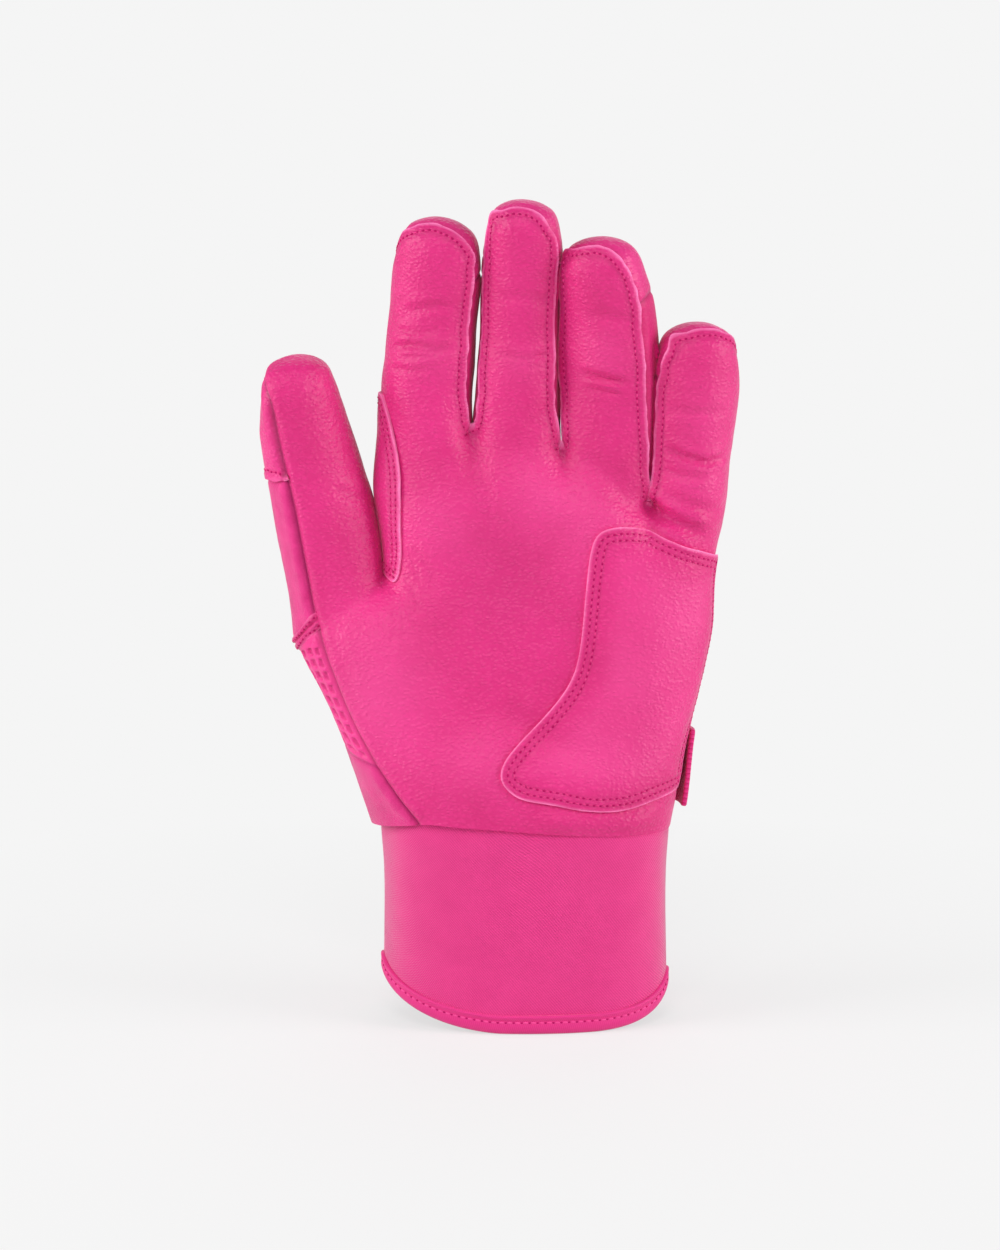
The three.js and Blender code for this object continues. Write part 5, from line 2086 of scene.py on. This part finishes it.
@dataclass
class WristStrap:
    """The strap across the back of the wrist, with its anchor, fastening tapes and pull tab."""

    form: HandForm
    hinge: Pair = (37.0, 77.0)
    bend: float = 12.0
    step: float = 2.2
    rows: int = 8
    edge_inset: float = 1.8
    box_length: float = 19.5

    def swing(self, obj: Object) -> None:
        """Makes a piece bend away from the hand at the strap's anchor."""
        at = self.form.point(*self.hinge, Side.BACK)
        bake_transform(obj, HAND, "strap", at * MM, (at - Vector((self.bend, 0, 0))) * MM)

    def lay(self, strip: Strip) -> Object:
        """Lays a soft-cornered strip over the back of the wrist, where its solid is."""
        low, high = (Vector(c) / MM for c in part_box(strip.node))
        past_left, past_right, below = strip.grow
        columns = max(8, round((high.x - low.x) / self.step))

        def place(i: int, j: int) -> Vector:
            """A point of the strip's outer face."""
            z = lerp(low.z - below, high.z, j / self.rows)
            left, right = self.form.left_side(z), self.form.outer_side(z)

            def turn(x: float) -> float:
                """How far round the back of the wrist a place across is, in radians."""
                return asin(min(1.0, max(-1.0, 2 * (x - left) / (right - left) - 1)))

            def on_back(angle: float) -> Vector:
                """The surface that far round."""
                side = Side.BACK if angle < pi / 2 else Side.FRONT
                return self.form.point(lerp(left, right, (sin(angle) + 1) / 2), z, side)

            angle = lerp(turn(high.x + past_right), turn(low.x - past_left), i / columns)
            at = on_back(angle)
            ahead = on_back(angle - 0.03) - on_back(angle + 0.03)
            out = Vector((-ahead.y, ahead.x, 0)).normalized()
            out = out if out.dot(at - Vector(((left + right) / 2, 0, z))) > 0 else -out
            return at + out * strip.lift(at.x)

        tall = high.z - low.z
        bm = grid_mesh(columns, self.rows, place, lambda i, j: (i * self.step, j / self.rows * tall))
        bmesh.ops.recalc_face_normals(bm, faces=bm.faces)
        obj = new_object(strip.name, bm)
        if obj.data.polygons[0].normal.y < 0:
            obj.data.flip_normals()
        subdivide(obj, 2)
        if strip.ribs:
            points = points_of(obj.data)
            points[:, 1] += 0.28 * np.cos(2 * pi * strip.ribs * (points[:, 0] - low.x) / (high.x - low.x))
            set_points(obj.data, points)
        thicken(obj, strip.thick)
        edge = obj.modifiers.new("edge", "BEVEL")
        edge.width, edge.segments, edge.limit_method = strip.thick * 0.3, 2, "ANGLE"
        edge.angle_limit = radians(50)
        apply_modifiers(obj)
        dress(obj, strip.finish)
        settle(obj, strip.node, strip.slot)
        if strip.body == "strap":
            self.swing(obj)
        else:
            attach(obj, strip.body)
        return obj

    def build(self) -> None:
        """Lays the strap's pieces from the hand outwards."""

        def anchor_lift(x: float) -> float:
            """The anchor goes down into the seam at the side of the hand."""
            return lerp(2.1, 4.2, smoothstep(x, 38, 44.5)) - 1.2 * smoothstep(x, 45, 49)

        def strap_lift(x: float) -> float:
            """The strap lies over its tapes and comes down to the hand at its anchor."""
            return lerp(4.7, 2.4, smoothstep(x, 0, 34))

        past, low_end, outer_end = (1.0, 1.0, 0.0), (0.0, 0.8, 2.0), (0.0, 1.2, 0.0)
        strips = (
            Strip("wrist_stretch", "wrist_gusset", "stretch_cloth", "stretch", lambda x: -1, 0.9, HAND, past),
            Strip("strap_anchor_web", "strap_anchor", "strap_web", "web", anchor_lift, 1.5, HAND, low_end),
            Strip("loop_tape", "loop_patch", "loop_pile", "pile", lambda x: 1.6, 1.1),
            Strip("hook_tape", "hook_patch", "hook_tape", "hooks", lambda x: 3.0, 1.2, "strap"),
            Strip("strap_web", "wrist_strap", "strap_web", "web", strap_lift, 1.6, "strap", outer_end),
            Strip("strap_tab", "strap_pull_tab", "pull_tab", "tab", lambda x: 4.6, 1.5, "strap", ribs=4),
        )
        laid = {strip.name: self.lay(strip) for strip in strips}
        self.sew(laid["strap_web"])

    def sew(self, strap: Object) -> None:
        """Sews the strap's edges and the box at its anchor."""
        points = points_of(strap.data) / MM
        surface = BVHTree.FromPolygons(points.tolist(), [p.vertices[:] for p in strap.data.polygons])
        (x0, _, z0), (x1, _, z1) = (Vector(c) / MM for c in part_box("wrist_strap"))
        stitching, inset = Stitching(), self.edge_inset
        across, up = np.linspace(x1 - inset, x0 + inset, 40), np.linspace(z0 + inset, z1 - inset, 12)
        rows = [[(x, z) for x in across] for z in (z0 + inset, z1 - inset)]
        rows += [[(x, z) for z in up] for x in (x0 + inset, x0 + self.box_length)]
        for row in rows:
            path = [tuple(self.form.point(x, z, Side.BACK) + Vector((0, 6, 0))) for x, z in row]
            stitching.row(np.array(path), surface, StitchRow())
        self.swing(stitching.finish("strap_stitches"))


@dataclass
class Studio:
    """The camera, soft light and pale floor."""

    aim: Triple = (-7.2, 0.0, 120.0)
    distance: float = 1100
    elevation: float = 9
    lens: float = 70.4
    pale: float = 0.913
    lamps: tuple[tuple[str, Triple, float, float], ...] = (
        ("left_softbox", (-0.85, -0.3, 0.45), 0.5, 6.0),
        ("right_softbox", (0.9, -0.3, 0.4), 0.5, 6.2),
        ("top_softbox", (-0.1, -0.85, 0.85), 0.4, 3.6),
        ("rear_softbox", (0.1, 0.9, 0.6), 0.8, 2.5),
    )

    def build(self) -> None:
        """Sets up the picture."""
        scene = bpy.context.scene
        scene.view_settings.view_transform = "Standard"
        rise = radians(self.elevation)
        back = Vector((0, -cos(rise), sin(rise)))
        camera = bpy.data.objects.new("camera", bpy.data.cameras.new("camera"))
        camera.data.sensor_fit, camera.data.sensor_height, camera.data.lens = "VERTICAL", 24, self.lens
        camera.location = (Vector(self.aim) + back * self.distance) * MM
        camera.rotation_euler = back.to_track_quat("Z", "Y").to_euler()
        scene.collection.objects.link(camera)
        scene.camera = camera
        for lamp in self.lamps:
            self.lamp(*lamp)
        self.surround()
        self.floor()

    def lamp(self, name: str, place: Triple, size: float, power: float) -> None:
        """A square soft lamp that faces the glove."""
        lamp = bpy.data.objects.new(name, bpy.data.lights.new(name, "AREA"))
        lamp.data.shape, lamp.data.size, lamp.data.energy = "SQUARE", size, power
        lamp.location = place
        lamp.rotation_euler = (Vector(place) - Vector((0, 0, 0.12))).to_track_quat("Z", "Y").to_euler()
        bpy.context.scene.collection.objects.link(lamp)

    def surround(self) -> None:
        """A pale surround that lights softly and shows its own colour to the camera."""
        world = bpy.data.worlds.new("studio")
        bpy.context.scene.world = world
        kit = NodeKit.of(world)
        path = kit.add("ShaderNodeLightPath")
        seen = kit.math("MAXIMUM", path.outputs["Is Camera Ray"], path.outputs["Is Transmission Ray"])
        colour = kit.mix(seen, (0.31, 0.31, 0.31, 1), (self.pale, self.pale, self.pale, 1))
        light = kit.add("ShaderNodeBackground", {"Color": colour, "Strength": 1.0})
        kit.add("ShaderNodeOutputWorld", {0: light.outputs[0]})

    def floor(self) -> None:
        """A wide pale floor that keeps a faint shadow near the glove."""
        bm = bmesh.new()
        bmesh.ops.create_circle(bm, cap_ends=True, segments=64, radius=4.0)
        obj = new_object("floor", bm)
        made = bpy.data.materials.new("pale_floor")
        kit = NodeKit.of(made)
        where = kit.add("ShaderNodeTexCoord").outputs["Object"]
        reach = kit.add("ShaderNodeVectorMath", {0: where}, operation="LENGTH").outputs["Value"]
        near = kit.remap(reach, (0.05, 0.3), (0.3, 0.0))
        path = kit.add("ShaderNodeLightPath")
        seen = kit.math("MAXIMUM", path.outputs["Is Camera Ray"], path.outputs["Is Glossy Ray"])
        share = kit.math("MULTIPLY", seen, kit.math("SUBTRACT", 1.0, near))
        matt = kit.add("ShaderNodeBsdfDiffuse", {"Color": (0.85, 0.85, 0.85, 1)})
        glow = kit.add("ShaderNodeEmission", {"Color": (self.pale, self.pale, self.pale, 1), "Strength": 1.0})
        both = kit.add("ShaderNodeMixShader", {0: share, 1: matt.outputs[0], 2: glow.outputs[0]})
        kit.add("ShaderNodeOutputMaterial", {0: both.outputs[0]})
        obj.data.materials.append(made)


def main() -> None:
    """Builds the glove piece by piece in its studio."""
    logging.basicConfig(level=logging.INFO, format="%(name)s: %(message)s")
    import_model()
    Studio().build()
    form = HandForm()
    skin = Skin(form, 3)
    HeelPatch(form).build(skin)
    CrotchPatch(form).build(skin)
    ThumbBand(form).build(skin)
    Shell(form, skin).build()
    Cuff().build()
    WristStrap(form).build()


if __name__ == "__main__":
    main()
